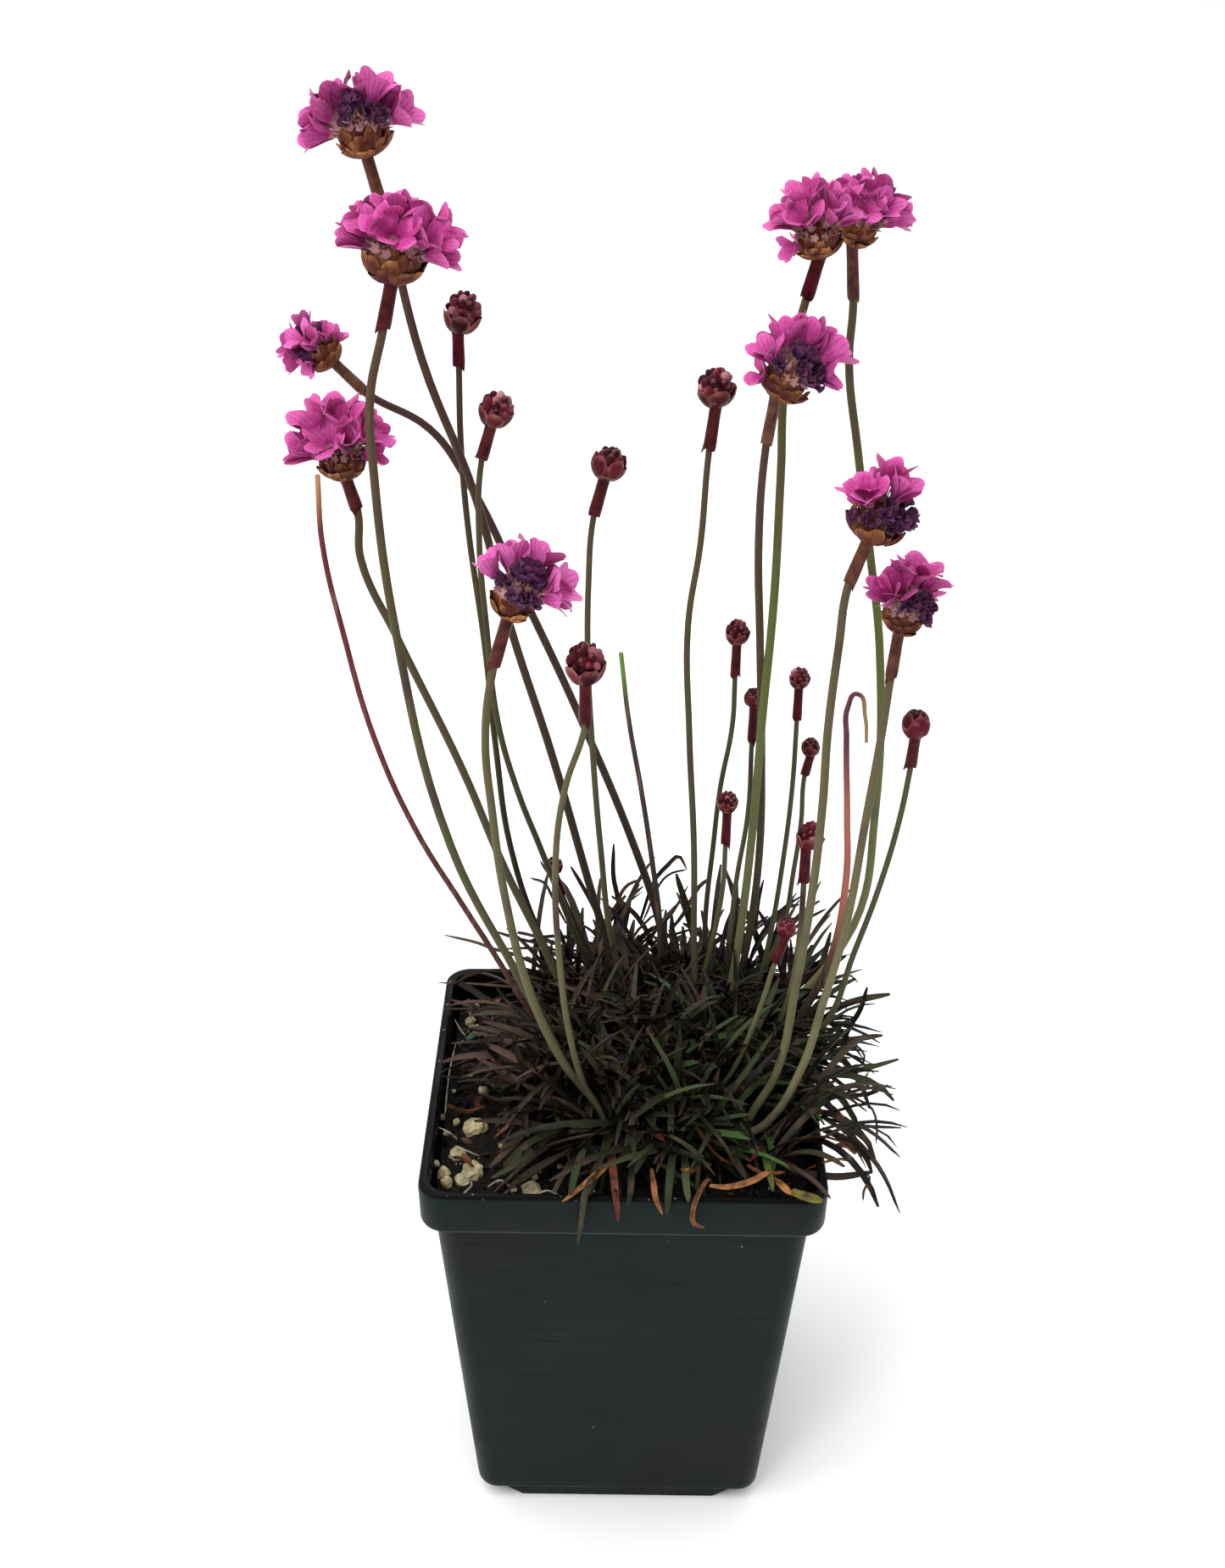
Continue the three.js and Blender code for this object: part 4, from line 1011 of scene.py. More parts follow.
leaf_skin, tree, shader, spot = finish("leaf_skin", Specular_IOR_Level=0.1)
tone = own_value(tree, "tone")
face = node(tree, "ShaderNodeSeparateXYZ", Vector=node(tree, "ShaderNodeUVMap").outputs[0])
hues = ramp_of(
    tree, own_value(tree, "kind"), (0, (0.074, 0.045, 0.034)), (0.25, (0.052, 0.036, 0.025)),
    (0.45, (0.036, 0.038, 0.02)), (0.65, (0.044, 0.06, 0.023)), (0.9, (0.05, 0.11, 0.03)),
    (1, (0.16, 0.22, 0.035)),
)
# Leaves of low tone turn near-black and every leaf darkens towards its root: painted shade for the
# deep, dark middle of the cushion.
shaded = blend_of(tree, shares(tree, tone, 0.28, 1.0), (0.004, 0.0034, 0.0022), hues)
shaded_to_root = blend_of(tree, shares(tree, face.outputs["Y"], 0.55, 0.05), shaded, (0.007, 0.004, 0.003))
tipped = blend_of(tree, shares(tree, face.outputs["Y"], 0.92, 1.02), shaded_to_root, (0.05, 0.024, 0.016))
mottled = noise_of(tree, spot, 260.0, 4.0)
patched = blend_of(tree, shares(tree, mottled, 0.56, 0.8), tipped, (0.09, 0.045, 0.03))
tree.links.new(patched, shader.inputs["Base Color"])
gloss = node(tree, "ShaderNodeMapRange", Value=tone, To_Min=0.34, To_Max=0.5).outputs[0]
tree.links.new(gloss, shader.inputs["Roughness"])
skinned(tree, shader, spot, scale=1400.0, strength=0.35, depth=0.0002)
belongs(leaves, leaf_skin, "leaf", "leaf_tuft")


# Dead leaves. Red, orange and tan ones hang over the front rim and lie among the others and
# on the soil, with a few pale root hairs that have worked out of it.
DRY_LEAVES = (
    # Width, hue and spots from root to tip.
    (1.7, 0.1, ((722, 1335, 101), (722, 1365, 104), (724, 1395, 105), (729, 1441, -46.5))),
    (1.3, 0.6, ((768, 1378, 103), (771, 1398, 104.5), (774, 1414, -45.6), (782, 1433, -46.2))),
    (1.2, 0.45, ((836, 1390, 103), (826, 1402, 105), (817, 1422, -45.8), (818, 1440, -46.3),
     (832, 1449, -46.5))),
    (1.6, 0.7, ((838, 1400, 103.8), (860, 1401, 104.5), (886, 1394, 105), (911, 1380, 105))),
    (1, 0.6, ((948, 1380, -30), (970, 1371, -31), (993, 1367, -31), (1012, 1374, -31),
     (1018, 1384, -31))),
    (2, 1, ((932, 1406, 103.6), (950, 1413, 104), (970, 1416, 104))),
    (1.6, 0.8, ((912, 1388, 102), (922, 1398, 104.2), (935, 1410, 103.8))),
    (1.8, 0.75, ((722, 1368, 103), (703, 1390, 104.8), (686, 1404, 104.8), (664, 1418, -45.8))),
    (1.9, 0.35, ((572, 1306, 98.5), (556, 1312, 99.5), (540, 1310, 98.8), (526, 1304, 98.3))),
    (1.6, 0.3, ((566, 1292, 98.2), (562, 1301, 99.5), (570, 1310, 98.5))),
    (1.2, 0.25, ((621, 1317, 100.5), (603, 1327, 101), (584, 1343, 98.6))),
    (1.3, 0.3, ((602, 1330, 98.5), (612, 1322, 99.8), (618, 1340, 98.5))),
    (1.7, 0.8, ((802, 1381, 103.4), (813, 1383, 104.4), (826, 1380, 103.8))),
    (1.7, 0, ((716, 1196, 113), (727, 1216, 113), (741, 1232, 111))),
    (1.5, 0, ((712, 1188, 113), (720, 1194, 114), (728, 1201, 113))),
    (1.2, 0, ((762, 1334, 106.5), (773, 1340, 107), (785, 1345, 106))),
    (1.6, 0.1, ((956, 1200, 8), (946, 1219, 5), (936, 1238, 3))),
    (1.9, 0, ((578, 1250, 100), (592, 1247, 101.2), (608, 1250, 100))),
    (1.5, 0.05, ((715, 1253, 109), (718, 1262, 110), (728, 1267, 109))),
    (1.3, 0, ((886, 1370, 103), (891, 1362, 104.5), (894, 1352, 104))),
    (1.3, 0.55, ((590, 1178, 101.5), (583, 1187, 102.5), (594, 1190, 101))),
    (1.8, 0.5, ((552, 1373, 98.5), (546, 1366, 100.5), (557, 1372, 99.5))),
    (1.6, 0.5, ((533, 1365, 98), (545, 1368, 100.3), (559, 1377, 98.6))),
    (1.4, 0.35, ((741, 1251, 108), (771, 1281, 109), (809, 1316, 107), (836, 1354, 104),
     (860, 1373, 103))),
    (1.5, 0.3, ((945, 1318, 106), (962, 1308, 108), (975, 1318, 106))),
    (1.4, 0.4, ((985, 1352, -27), (1000, 1352, -28), (1010, 1362, -28))),
    (1.5, 0.5, ((880, 1376, 102.5), (900, 1384, 104), (925, 1384, 104))),
)
ROOT_HAIRS = (
    ((-40.5, 16, 99), (-41, 6, 99), (-41.2, -3, 98.5), (-41, -11, 98)),
    ((-41.3, 23, 101), (-38.5, 20, 98.5), (-35, 18, 98.5)),
    ((-36, 33, 99), (-38, 30, 98.5), (-37.5, 27.5, 98)),
    ((-31, 32.5, 99), (-32.2, 29.5, 98.5), (-32.5, 26.5, 98)),
    ((-31, 10, 99), (-32.5, 12, 98.5), (-31.5, 15, 98.5), (-29, 17, 98.5)),
    ((-33, 3, 98.5), (-32, 0.5, 99.5), (-30, -1.5, 99)),
    ((-42, -16, 98.5), (-39.5, -17, 98), (-37.5, -19.5, 98)),
    ((-38, -22, 98), (-34.5, -25, 99), (-32, -26, 98.5)),
    ((-29.5, -36.5, 98.5), (-27, -35, 99.2), (-24.5, -36.5, 98.3), (-26, -38, 98)),
    ((-19, -39, 98.3), (-16.5, -38, 99), (-13.5, -38.8, 98.2)),
    ((-4, 27, 104), (-1, 25, 106), (1, 27, 104)),
    ((-35, -34, 98.2), (-33, -36, 99), (-35, -38.5, 98)),
)
chance = random.Random(77)
drawn = [
    long_leaf(
        f"dry_leaf_{k}", traced(spots), width, chance.uniform(-40, 40), chance.uniform(-110, 110)
    )
    for k, (width, _, spots) in enumerate(DRY_LEAVES)
]
placings = [
    (leaf, Matrix.Identity(4), chance.random(), hue) for leaf, (_, hue, _) in zip(drawn, DRY_LEAVES)
]
hairs = [long_leaf(f"hair_{k}", route, 0.36, 0, 90) for k, route in enumerate(ROOT_HAIRS)]
placings += [(hair, Matrix.Identity(4), chance.random(), 2) for hair in hairs]
dead = set_out("dead_leaves", placings)
put_away(*drawn, *hairs)

dry_leaf, tree, shader, spot = finish("dry_leaf", Roughness=0.6, Specular_IOR_Level=0.2)
kind = own_value(tree, "kind")
hues = ramp_of(
    tree, kind, (0, (0.26, 0.032, 0.028)), (0.12, (0.1, 0.028, 0.015)),
    (0.35, (0.12, 0.046, 0.018)), (0.6, (0.22, 0.085, 0.028)), (0.8, (0.3, 0.13, 0.032)),
    (1, (0.14, 0.125, 0.016)),
)
pale = blend_of(tree, shares(tree, kind, 1, 2), hues, (0.3, 0.27, 0.2))
mottled = noise_of(tree, spot, 420.0, 4.0)
browned = blend_of(tree, shares(tree, mottled, 0.44, 0.7), pale, (0.045, 0.016, 0.009))
tree.links.new(browned, shader.inputs["Base Color"])
skinned(tree, shader, spot, scale=1100.0, strength=0.6, depth=0.0003)
belongs(dead, dry_leaf, "leaf", "leaf_tuft")


# The flower stalks. Each is one smooth leafless scape from the crown, olive low down and
# mauve-brown towards its head, gently bent by its own weight.
FLOWERS = (
    # The head's middle and radius, how green the stalk is, and its route down to the crown.
    ((-53, 14, 314), 11.5, 0.1, ((-52, 14, 307), (-49, 15, 295), (-43, 16, 267),
     (-33, 17, 238), (-26, 19, 207), (-17, 20, 175), (-8, 21, 139), (2, 23, 100))),
    ((-45, -6, 296), 12, 0.35, ((-46, -6, 288), (-48, -6, 279), (-51, -6, 266),
     (-51, -6, 251), (-48, -7, 218), (-38, -7, 167), (-24, -8, 135), (-15, -8, 115),
     (-7, -8, 100))),
    ((-67, 26, 268), 8.5, 0.0, ((-62, 26, 263), (-56, 26, 257), (-43, 27, 249),
     (-36, 27, 239), (-22, 28, 207), (-12, 29, 183), (2, 30, 146), (8, 29, 127),
     (13, 28, 100))),
    ((-60, 12, 252), 10.5, 0.15, ((-59, 12, 243), (-57, 12, 236), (-57, 13, 225),
     (-50, 13, 207), (-37, 14, 175), (-28, 15, 149), (-18, 16, 124), (-10, 17, 100))),
    ((-21, -26, 237), 10.5, 0.25, ((-24, -26, 229), (-27, -25, 218), (-29, -23, 202),
     (-28, -21, 183), (-26, -19, 163), (-21, -17, 137), (-14, -15, 117), (-5, -13, 100))),
    ((34, 9, 298), 9.5, 0.95, ((35, 9, 290), (33, 9, 282), (30, 10, 267), (30, 10, 246),
     (30, 10, 219), (29, 12, 189), (28, 13, 156), (26, 14, 126), (23, 15, 100))),
    ((45, 24, 297), 9.5, 0.9, ((43, 24, 289), (44, 24, 278), (44, 24, 265), (47, 24, 247),
     (51, 23, 225), (55, 23, 201), (57, 23, 160), (54, 22, 130), (35, 20, 100))),
    ((31, -3, 274), 10, 0.1, ((27, -3, 266), (26, 1, 255), (26, 8, 233), (28, 15, 205),
     (30, 20, 175), (31, 24, 150), (30, 27, 126), (27, 29, 100))),
    ((48, -17, 250), 11, 0.2, ((45, -17, 242), (42, -17, 233), (41, -17, 220),
     (40, -17, 201), (40, -17, 184), (39, -16, 159), (37, -16, 138), (34, -16, 115),
     (28, -16, 100))),
    ((56, -8, 229), 9.5, 0.15, ((54, -8, 219), (53, -9, 209), (52, -10, 197),
     (50, -12, 179), (47, -15, 153), (43, -17, 134), (39, -19, 118), (32, -20, 104),
     (25, -21, 99))),
)
BUDS = (
    # The bud's middle and radius, and its stalk's route.
    ((-35, 21, 275), 3.7, ((-36, 21, 271), (-36, 21, 264), (-36, 21, 248), (-35, 22, 229),
     (-32, 22, 202), (-30, 23, 176), (-27, 23, 150), (-20, 23, 125), (-9, 24, 100))),
    ((-28, 10, 258), 3.5, ((-29, 10, 255), (-31, 11, 248), (-32, 13, 229), (-31, 15, 209),
     (-29, 17, 185), (-25, 19, 167), (-20, 21, 151), (-14, 23, 132), (-4, 26, 100))),
    ((-5, 2, 251), 3.4, ((-6, 2, 247), (-8, 3, 239), (-9, 5, 223), (-9, 8, 203),
     (-8, 10, 183), (-6, 13, 156), (-3, 16, 128), (4, 20, 100))),
    ((-9, -26, 219), 3.9, ((-9, -26, 215), (-9, -25, 206), (-13, -24, 191), (-15, -22, 174),
     (-14, -20, 143), (-12, -19, 126), (-9, -17, 112), (-4, -16, 100))),
    ((16, 6, 265), 3.8, ((16, 6, 261), (15, 6, 252), (14, 7, 232), (12, 8, 213),
     (13, 8, 188), (15, 9, 158), (16, 10, 128), (18, 11, 100))),
    ((23, 16, 208), 2.5, ((23, 16, 205), (23, 17, 197), (23, 19, 184), (21, 20, 168),
     (20, 22, 151), (19, 24, 130), (20, 27, 100))),
    ((28, 24, 189), 2.1, ((28, 24, 186), (28, 25, 177), (28, 26, 158), (26, 26, 139),
     (25, 25, 123), (23, 22, 100))),
    ((38, 26, 193), 2.3, ((38, 26, 190), (38, 26, 182), (38, 27, 164), (37, 27, 146),
     (35, 26, 126), (31, 24, 100))),
    ((42, 30, 174), 2.1, ((42, 30, 171), (41, 30, 166), (41, 31, 153), (40, 31, 140),
     (38, 30, 124), (28, 25, 100))),
    ((22, 8, 171), 2.3, ((22, 8, 168), (22, 9, 159), (22, 12, 146), (20, 15, 128),
     (17, 17, 112), (13, 19, 100))),
    ((41, 8, 163), 3.0, ((40, 8, 159), (40, 8, 150), (40, 9, 137), (39, 9, 122),
     (34, 10, 100))),
    ((61, 2, 193), 3.0, ((61, 2, 190), (60.6, 2, 183), (59.2, 3, 168), (56, 3, 151),
     (52, 4, 134), (47, 4, 115), (36, 4, 100))),
    ((35, -8, 148), 2.1, ((35, -8, 146), (33, -8, 139), (30, -8, 126), (25, -8, 110),
     (20, -8, 100))),
    ((-17, 29, 141), 2.1, ((-17, 29, 139), (-15, 29, 133), (-11, 30, 122), (-3, 31, 100))),
)
STALK_ROOT = 96.5
SMALL_BUD = 2.8


def drawn_stalk(name, route, radius, green, pale=0.5, ends=(1.0, 1.0)):
    """A round stalk drawn along its route, from its head to its root in the crown."""
    stalk = added(name, bpy.ops.curve.primitive_bezier_curve_add)
    line = stalk.data.splines[0]
    stops = [*route, (route[-1][0], route[-1][1], STALK_ROOT)]
    line.bezier_points.add(len(stops) - 2)
    for number, (point, stop) in enumerate(zip(line.bezier_points, stops)):
        point.handle_left_type = point.handle_right_type = "AUTO"
        point.co = Vector(stop) * MM
        share = number / (len(stops) - 1)
        point.radius = ends[0] + (ends[1] - ends[0]) * share
    stalk.data.resolution_u = 7
    stalk.data.bevel_depth = radius * MM
    stalk.data.bevel_resolution = 2
    stalk.data.use_fill_caps = True
    bpy.ops.object.convert(target="MESH")
    stalk = bpy.context.object
    bpy.ops.object.mode_set(mode="EDIT")
    bpy.ops.mesh.select_all(action="SELECT")
    bpy.ops.mesh.remove_doubles(threshold=0.001 * MM)
    bpy.ops.mesh.normals_make_consistent(inside=False)
    at_rest(stalk)
    bpy.ops.object.shade_smooth()
    for label, value in (("kind", green), ("tone", pale)):
        layer = stalk.data.attributes.new(label, "FLOAT", "POINT")
        layer.data.foreach_set("value", [value] * len(stalk.data.vertices))
    return stalk


stalk_skin, tree, shader, spot = finish("stalk_skin", Roughness=0.5, Specular_IOR_Level=0.1)
kind = own_value(tree, "kind")
height = node(tree, "ShaderNodeSeparateXYZ", Vector=spot).outputs["Z"]
tone = own_value(tree, "tone")
low = blend_of(tree, tone, (0.02, 0.011, 0.009), (0.17, 0.158, 0.08))
high = blend_of(tree, tone, (0.055, 0.026, 0.018), (0.09, 0.05, 0.033))
browned = blend_of(tree, shares(tree, height, 0.14, 0.25), low, high)
greened = blend_of(
    tree, shares(tree, height, 0.2, 0.29), (0.095, 0.115, 0.024), (0.085, 0.055, 0.03)
)
low_green = blend_of(tree, tone, (0.03, 0.036, 0.014), (0.18, 0.18, 0.08))
greened = blend_of(tree, shares(tree, height, 0.14, 0.2), low_green, greened)
mixed = blend_of(tree, kind, browned, greened)
drawn_out = node(tree, "ShaderNodeMapping", Vector=spot, Scale=(1, 1, 0.06)).outputs[0]
streaks = noise_of(tree, drawn_out, 1500.0, 3.0)
streaked = blend_of(tree, shares(tree, streaks, 0.62, 1.0), mixed, (0.17, 0.15, 0.085))
patchy = noise_of(tree, spot, 60.0)
darkened = blend_of(tree, shares(tree, patchy, 0.55, 0.8), streaked, (0.05, 0.028, 0.028))
tree.links.new(darkened, shader.inputs["Base Color"])
skinned(tree, shader, drawn_out, scale=1200.0, strength=0.3, depth=0.0002)

# How pale each stalk is low down, from the dark ones at the back to those in front.
PALE_FLOWERS = (0.05, 0.35, 0.1, 0.35, 0.65, 0.65, 0.8, 0.3, 0.7, 0.8)
PALE_BUDS = (0.0, 0.15, 0.3, 0.6, 0.25, 0.2, 0.45, 0.4, 0.45, 0.45, 0.7, 0.35, 0.6, 0.1)
for number, (_, _, green, route) in enumerate(FLOWERS, 1):
    pale = PALE_FLOWERS[number - 1]
    stalk = drawn_stalk(f"flower_{number}_scape", route, 0.9, green, pale, (0.92, 1.12))
    belongs(stalk, stalk_skin, "stalk", f"flower_{number}_stalk")
for number, (_, radius, route) in enumerate(BUDS, 1):
    thick = 0.62 if radius < SMALL_BUD else 0.72
    pale = PALE_BUDS[number - 1]
    stalk = drawn_stalk(f"bud_{number}_scape", route, thick, 0.3, pale, (0.9, 1.05))
    belongs(stalk, stalk_skin, "stalk", f"bud_{number}_stem")


# Three spent scapes: one wine-red with a tan tip, one short and dark that ends green, and
# a dead salmon one that has dried and hooked over.
SPENT = (
    # Name, kind and route.
    ("bare_scape_1", 0.0, ((-63, 0, 248), (-63, 1, 233), (-60, 3, 212), (-55, 5, 187),
     (-47, 7, 163), (-37, 9, 142), (-28, 10, 124), (-18, 12, 100))),
    ("bare_scape_2", 1.0, ((-2, 20, 201), (0, 21, 184), (3, 21, 167), (6, 22, 147),
     (8, 23, 131), (9, 24, 100))),
    ("curled_scape", 2.0, ((51, 4, 188), (50.3, 4, 194), (48.3, 5, 199), (46.6, 5, 196),
     (46.9, 6, 188), (48.4, 7, 169), (49.6, 9, 150), (47.5, 10, 128), (40, 12, 104))),
)
spent_skin, tree, shader, spot = finish("spent_skin", Roughness=0.6, Specular_IOR_Level=0.1)
kind = own_value(tree, "kind")
height = node(tree, "ShaderNodeSeparateXYZ", Vector=spot).outputs["Z"]
wine = blend_of(tree, shares(tree, height, 0.13, 0.2), (0.085, 0.035, 0.03), (0.13, 0.022, 0.03))
wine = blend_of(tree, shares(tree, height, 0.236, 0.246), wine, (0.42, 0.2, 0.09))
dark = blend_of(tree, shares(tree, height, 0.188, 0.196), (0.05, 0.036, 0.03), (0.13, 0.25, 0.04))
salmon = blend_of(
    tree, shares(tree, height, 0.125, 0.145), (0.05, 0.035, 0.022), (0.4, 0.13, 0.095)
)
salmon = blend_of(tree, shares(tree, height, 0.167, 0.188), salmon, (0.1, 0.03, 0.05))
salmon_tip = blend_of(tree, shares(tree, height, 0.178, 0.188), salmon, (0.3, 0.19, 0.09))
sideways = node(tree, "ShaderNodeSeparateXYZ", Vector=spot).outputs["X"]
salmon = blend_of(tree, shares(tree, sideways, 0.0488, 0.0502), salmon, salmon_tip)
chosen = blend_of(tree, shares(tree, kind, 0, 1), wine, dark)
chosen = blend_of(tree, shares(tree, kind, 1, 2), chosen, salmon)
drawn_out = node(tree, "ShaderNodeMapping", Vector=spot, Scale=(1, 1, 0.06)).outputs[0]
streaks = noise_of(tree, drawn_out, 1500.0, 3.0)
streaked = blend_of(tree, shares(tree, streaks, 0.5, 0.85), chosen, (0.24, 0.14, 0.1))
tree.links.new(streaked, shader.inputs["Base Color"])
skinned(tree, shader, drawn_out, scale=1200.0, strength=0.4, depth=0.0002)
for name, kind_of_it, route in SPENT:
    ends = (0.45, 1.35) if name == "curled_scape" else (0.7, 1.0)
    stalk = drawn_stalk(f"spent_{name}", route, 0.8, kind_of_it, 0, ends)
    belongs(stalk, spent_skin, "stalk" if kind_of_it == 1.0 else "dry_stalk", name)


# Bracts, the small papery scales. They clasp the buds and make the cups under the heads:
# thin, dark red-brown in the middle and paler at their torn margins.


def stand(base, tip):
    """A place at base whose +Z points to tip."""
    turn = (Vector(tip) - Vector(base)).to_track_quat("Z", "Y").to_matrix().to_4x4()
    return Matrix.Translation(Vector(base) * MM) @ turn


def bract_shape(low, high, half_turn, swell, flare):
    """A scale on a ball of radius 1, between two polar angles from its foot."""
    def shaped(across, along, is_back):
        polar = math.radians(low + (high - low) * along)
        narrow = table((0.7, 0.95, 1.0, 0.84, 0.4), along)
        off = 2 * across - 1
        turn = math.radians(half_turn) * off * narrow
        far = swell + flare * along ** 2 - 0.1 * off * off
        if is_back and 0 < across < 1 and 0 < along < 1:
            far -= 0.07
        ring = far * math.sin(polar)
        return Vector((ring * math.cos(turn), ring * math.sin(turn), 1 - far * math.cos(polar)))
    return shaped


papery, tree, shader, spot = finish("papery_bract", Specular_IOR_Level=0.07)
tone = own_value(tree, "tone")
kind = own_value(tree, "kind")
face = node(tree, "ShaderNodeSeparateXYZ", Vector=node(tree, "ShaderNodeUVMap").outputs[0])
off_middle = worked_out(tree, "SUBTRACT", face.outputs["X"], 0.5)
side_margin = shares(tree, worked_out(tree, "ABSOLUTE", off_middle), 0.3, 0.5)
tip_margin = shares(tree, face.outputs["Y"], 0.72, 1.0)
margin = worked_out(tree, "MAXIMUM", side_margin, tip_margin)
mottling = placed_effect(tree, clouded, Place=spot, Scale=420.0)["Value"]
uneven = node(tree, "ShaderNodeMapRange", Value=mottling, To_Min=0.3, To_Max=1.0).outputs[0]
edge = worked_out(tree, "MULTIPLY", margin, uneven)
stretched = node(tree, "ShaderNodeMapping", Vector=spot, Scale=(1, 1, 0.3)).outputs[0]
stains = noise_of(tree, stretched, 700.0, 3.0)
cup_dark = blend_of(tree, tone, (0.05, 0.008, 0.009), (0.22, 0.075, 0.026))
cup_margin = blend_of(tree, tone, (0.18, 0.06, 0.035), (0.62, 0.31, 0.1))
cup_brown = blend_of(tree, edge, cup_dark, cup_margin)
cup_brown = blend_of(tree, shares(tree, stains, 0.48, 0.68), cup_brown, (0.06, 0.01, 0.01))
bud_dark = blend_of(tree, tone, (0.022, 0.002, 0.005), (0.14, 0.012, 0.026))
# The knobs of highest tone turn pale pink: painted highlights.
bud_dark = blend_of(tree, shares(tree, tone, 0.78, 0.98), bud_dark, (0.5, 0.22, 0.25))
bud_red = blend_of(tree, edge, bud_dark, (0.3, 0.1, 0.095))
wine_dark = blend_of(tree, mottling, (0.03, 0.0008, 0.003), (0.078, 0.0025, 0.008))
sheath_brown = blend_of(tree, mottling, (0.06, 0.025, 0.016), (0.16, 0.08, 0.045))
wine_dark = blend_of(tree, tone, wine_dark, sheath_brown)
ribs = blend_of(tree, tone, (0.09, 0.016, 0.03), (0.42, 0.2, 0.2))
ribs = blend_of(tree, mottling, ribs, (0.5, 0.28, 0.27))
chosen = blend_of(tree, shares(tree, kind, 0, 1), cup_brown, bud_red)
chosen = blend_of(tree, shares(tree, kind, 1, 2), chosen, wine_dark)
chosen = blend_of(tree, shares(tree, kind, 2, 3), chosen, ribs)
tree.links.new(chosen, shader.inputs["Base Color"])
gloss = node(tree, "ShaderNodeMapRange", Value=kind, To_Min=0.6, To_Max=0.3).outputs[0]
tree.links.new(gloss, shader.inputs["Roughness"])
skinned(tree, shader, spot, scale=1500.0, strength=0.4, depth=0.0002)


# The sheath. A wine-red papery tube left below each head and bud, drawn in where it joins
# the head and torn along its lower edge.
SHEATH_LENGTH = 10
SHEATH_RADIUS = 1.32
SHEATH_SIDES = 12
# Each step up the sheath, and how much wider or narrower it gets.
SHEATH_STEPS = ((1.6, 1.04), (2.4, 0.97), (3, 0.95), (2.2, 1.02), (1, 1.1))


def sheath_model(name, seed):
    """A sheath to copy, torn in its own way."""
    chance = random.Random(seed)
    sheath = added(
        name, bpy.ops.mesh.primitive_circle_add, vertices=SHEATH_SIDES, radius=SHEATH_RADIUS * MM
    )
    bpy.ops.object.mode_set(mode="EDIT")
    bpy.ops.mesh.select_all(action="SELECT")
    for rise, share in SHEATH_STEPS:
        bpy.ops.mesh.extrude_region_move(TRANSFORM_OT_translate={"value": (0, 0, rise * MM)})
        bpy.ops.transform.resize(value=(share, share, 1), center_override=(0, 0, 0))
    bpy.ops.object.mode_set(mode="OBJECT")
    torn = chance.randrange(SHEATH_SIDES)
    for number, point in enumerate(sheath.data.vertices[:SHEATH_SIDES]):
        point.co.z += chance.uniform(0, 1.1) * MM
        if number == torn:
            point.co.z = -0.7 * MM
            point.co.x *= 1.3
            point.co.y *= 1.3
    walled = sheath.modifiers.new("walled", "SOLIDIFY")
    walled.thickness = 0.16 * MM
    walled.offset = 0
    bpy.ops.object.modifier_apply(modifier="walled")
    return sheath


# The buds. Fourteen closed heads: broad pinkish bracts clasp them from below, and most are
# knobbly on top with the dark tips of their calyces. A few are still closed right over.
BUD_WHORLS = (
    # Count, lowest and highest polar angle, half width in degrees, swell, flare, kind.
    (4, 4, 66, 56, 1.0, 0.03, 0.6), (5, 30, 98, 42, 1.03, 0.08, 0.85),
    (5, 62, 124, 36, 1.05, 0.07, 1.0), (5, 92, 152, 46, 1.01, 0.07, 1.0),
)
# How many knobs stand in each ring on top of a bud, and at which polar angle.
KNOB_RINGS = ((9, 98), (8, 124), (5, 150), (1, 178))
CLOSED_BUDS = (3, 7, 9, 12, 13, 14)
BUD_HEIGHTS = (1.2, 1.1, 1.04, 1.14, 1.06, 1.2, 1.15, 1.15, 1.1, 1.15, 1.15, 1.12, 1.1, 1.1)
bud_bracts = [
    blade(f"bud_bract_{row}", 4, 4, bract_shape(*shape))
    for row, (_, *shape, _) in enumerate(BUD_WHORLS)
]
bud_core = added(
    "bud_core", bpy.ops.mesh.primitive_uv_sphere_add,
    segments=12, ring_count=8, radius=0.88 * MM, location=(0, 0, MM),
)
at_rest(bud_core)
knob = added("knob", bpy.ops.mesh.primitive_ico_sphere_add, subdivisions=2, radius=MM)
sheaths = [sheath_model(f"sheath_{k}", k) for k in range(4)]
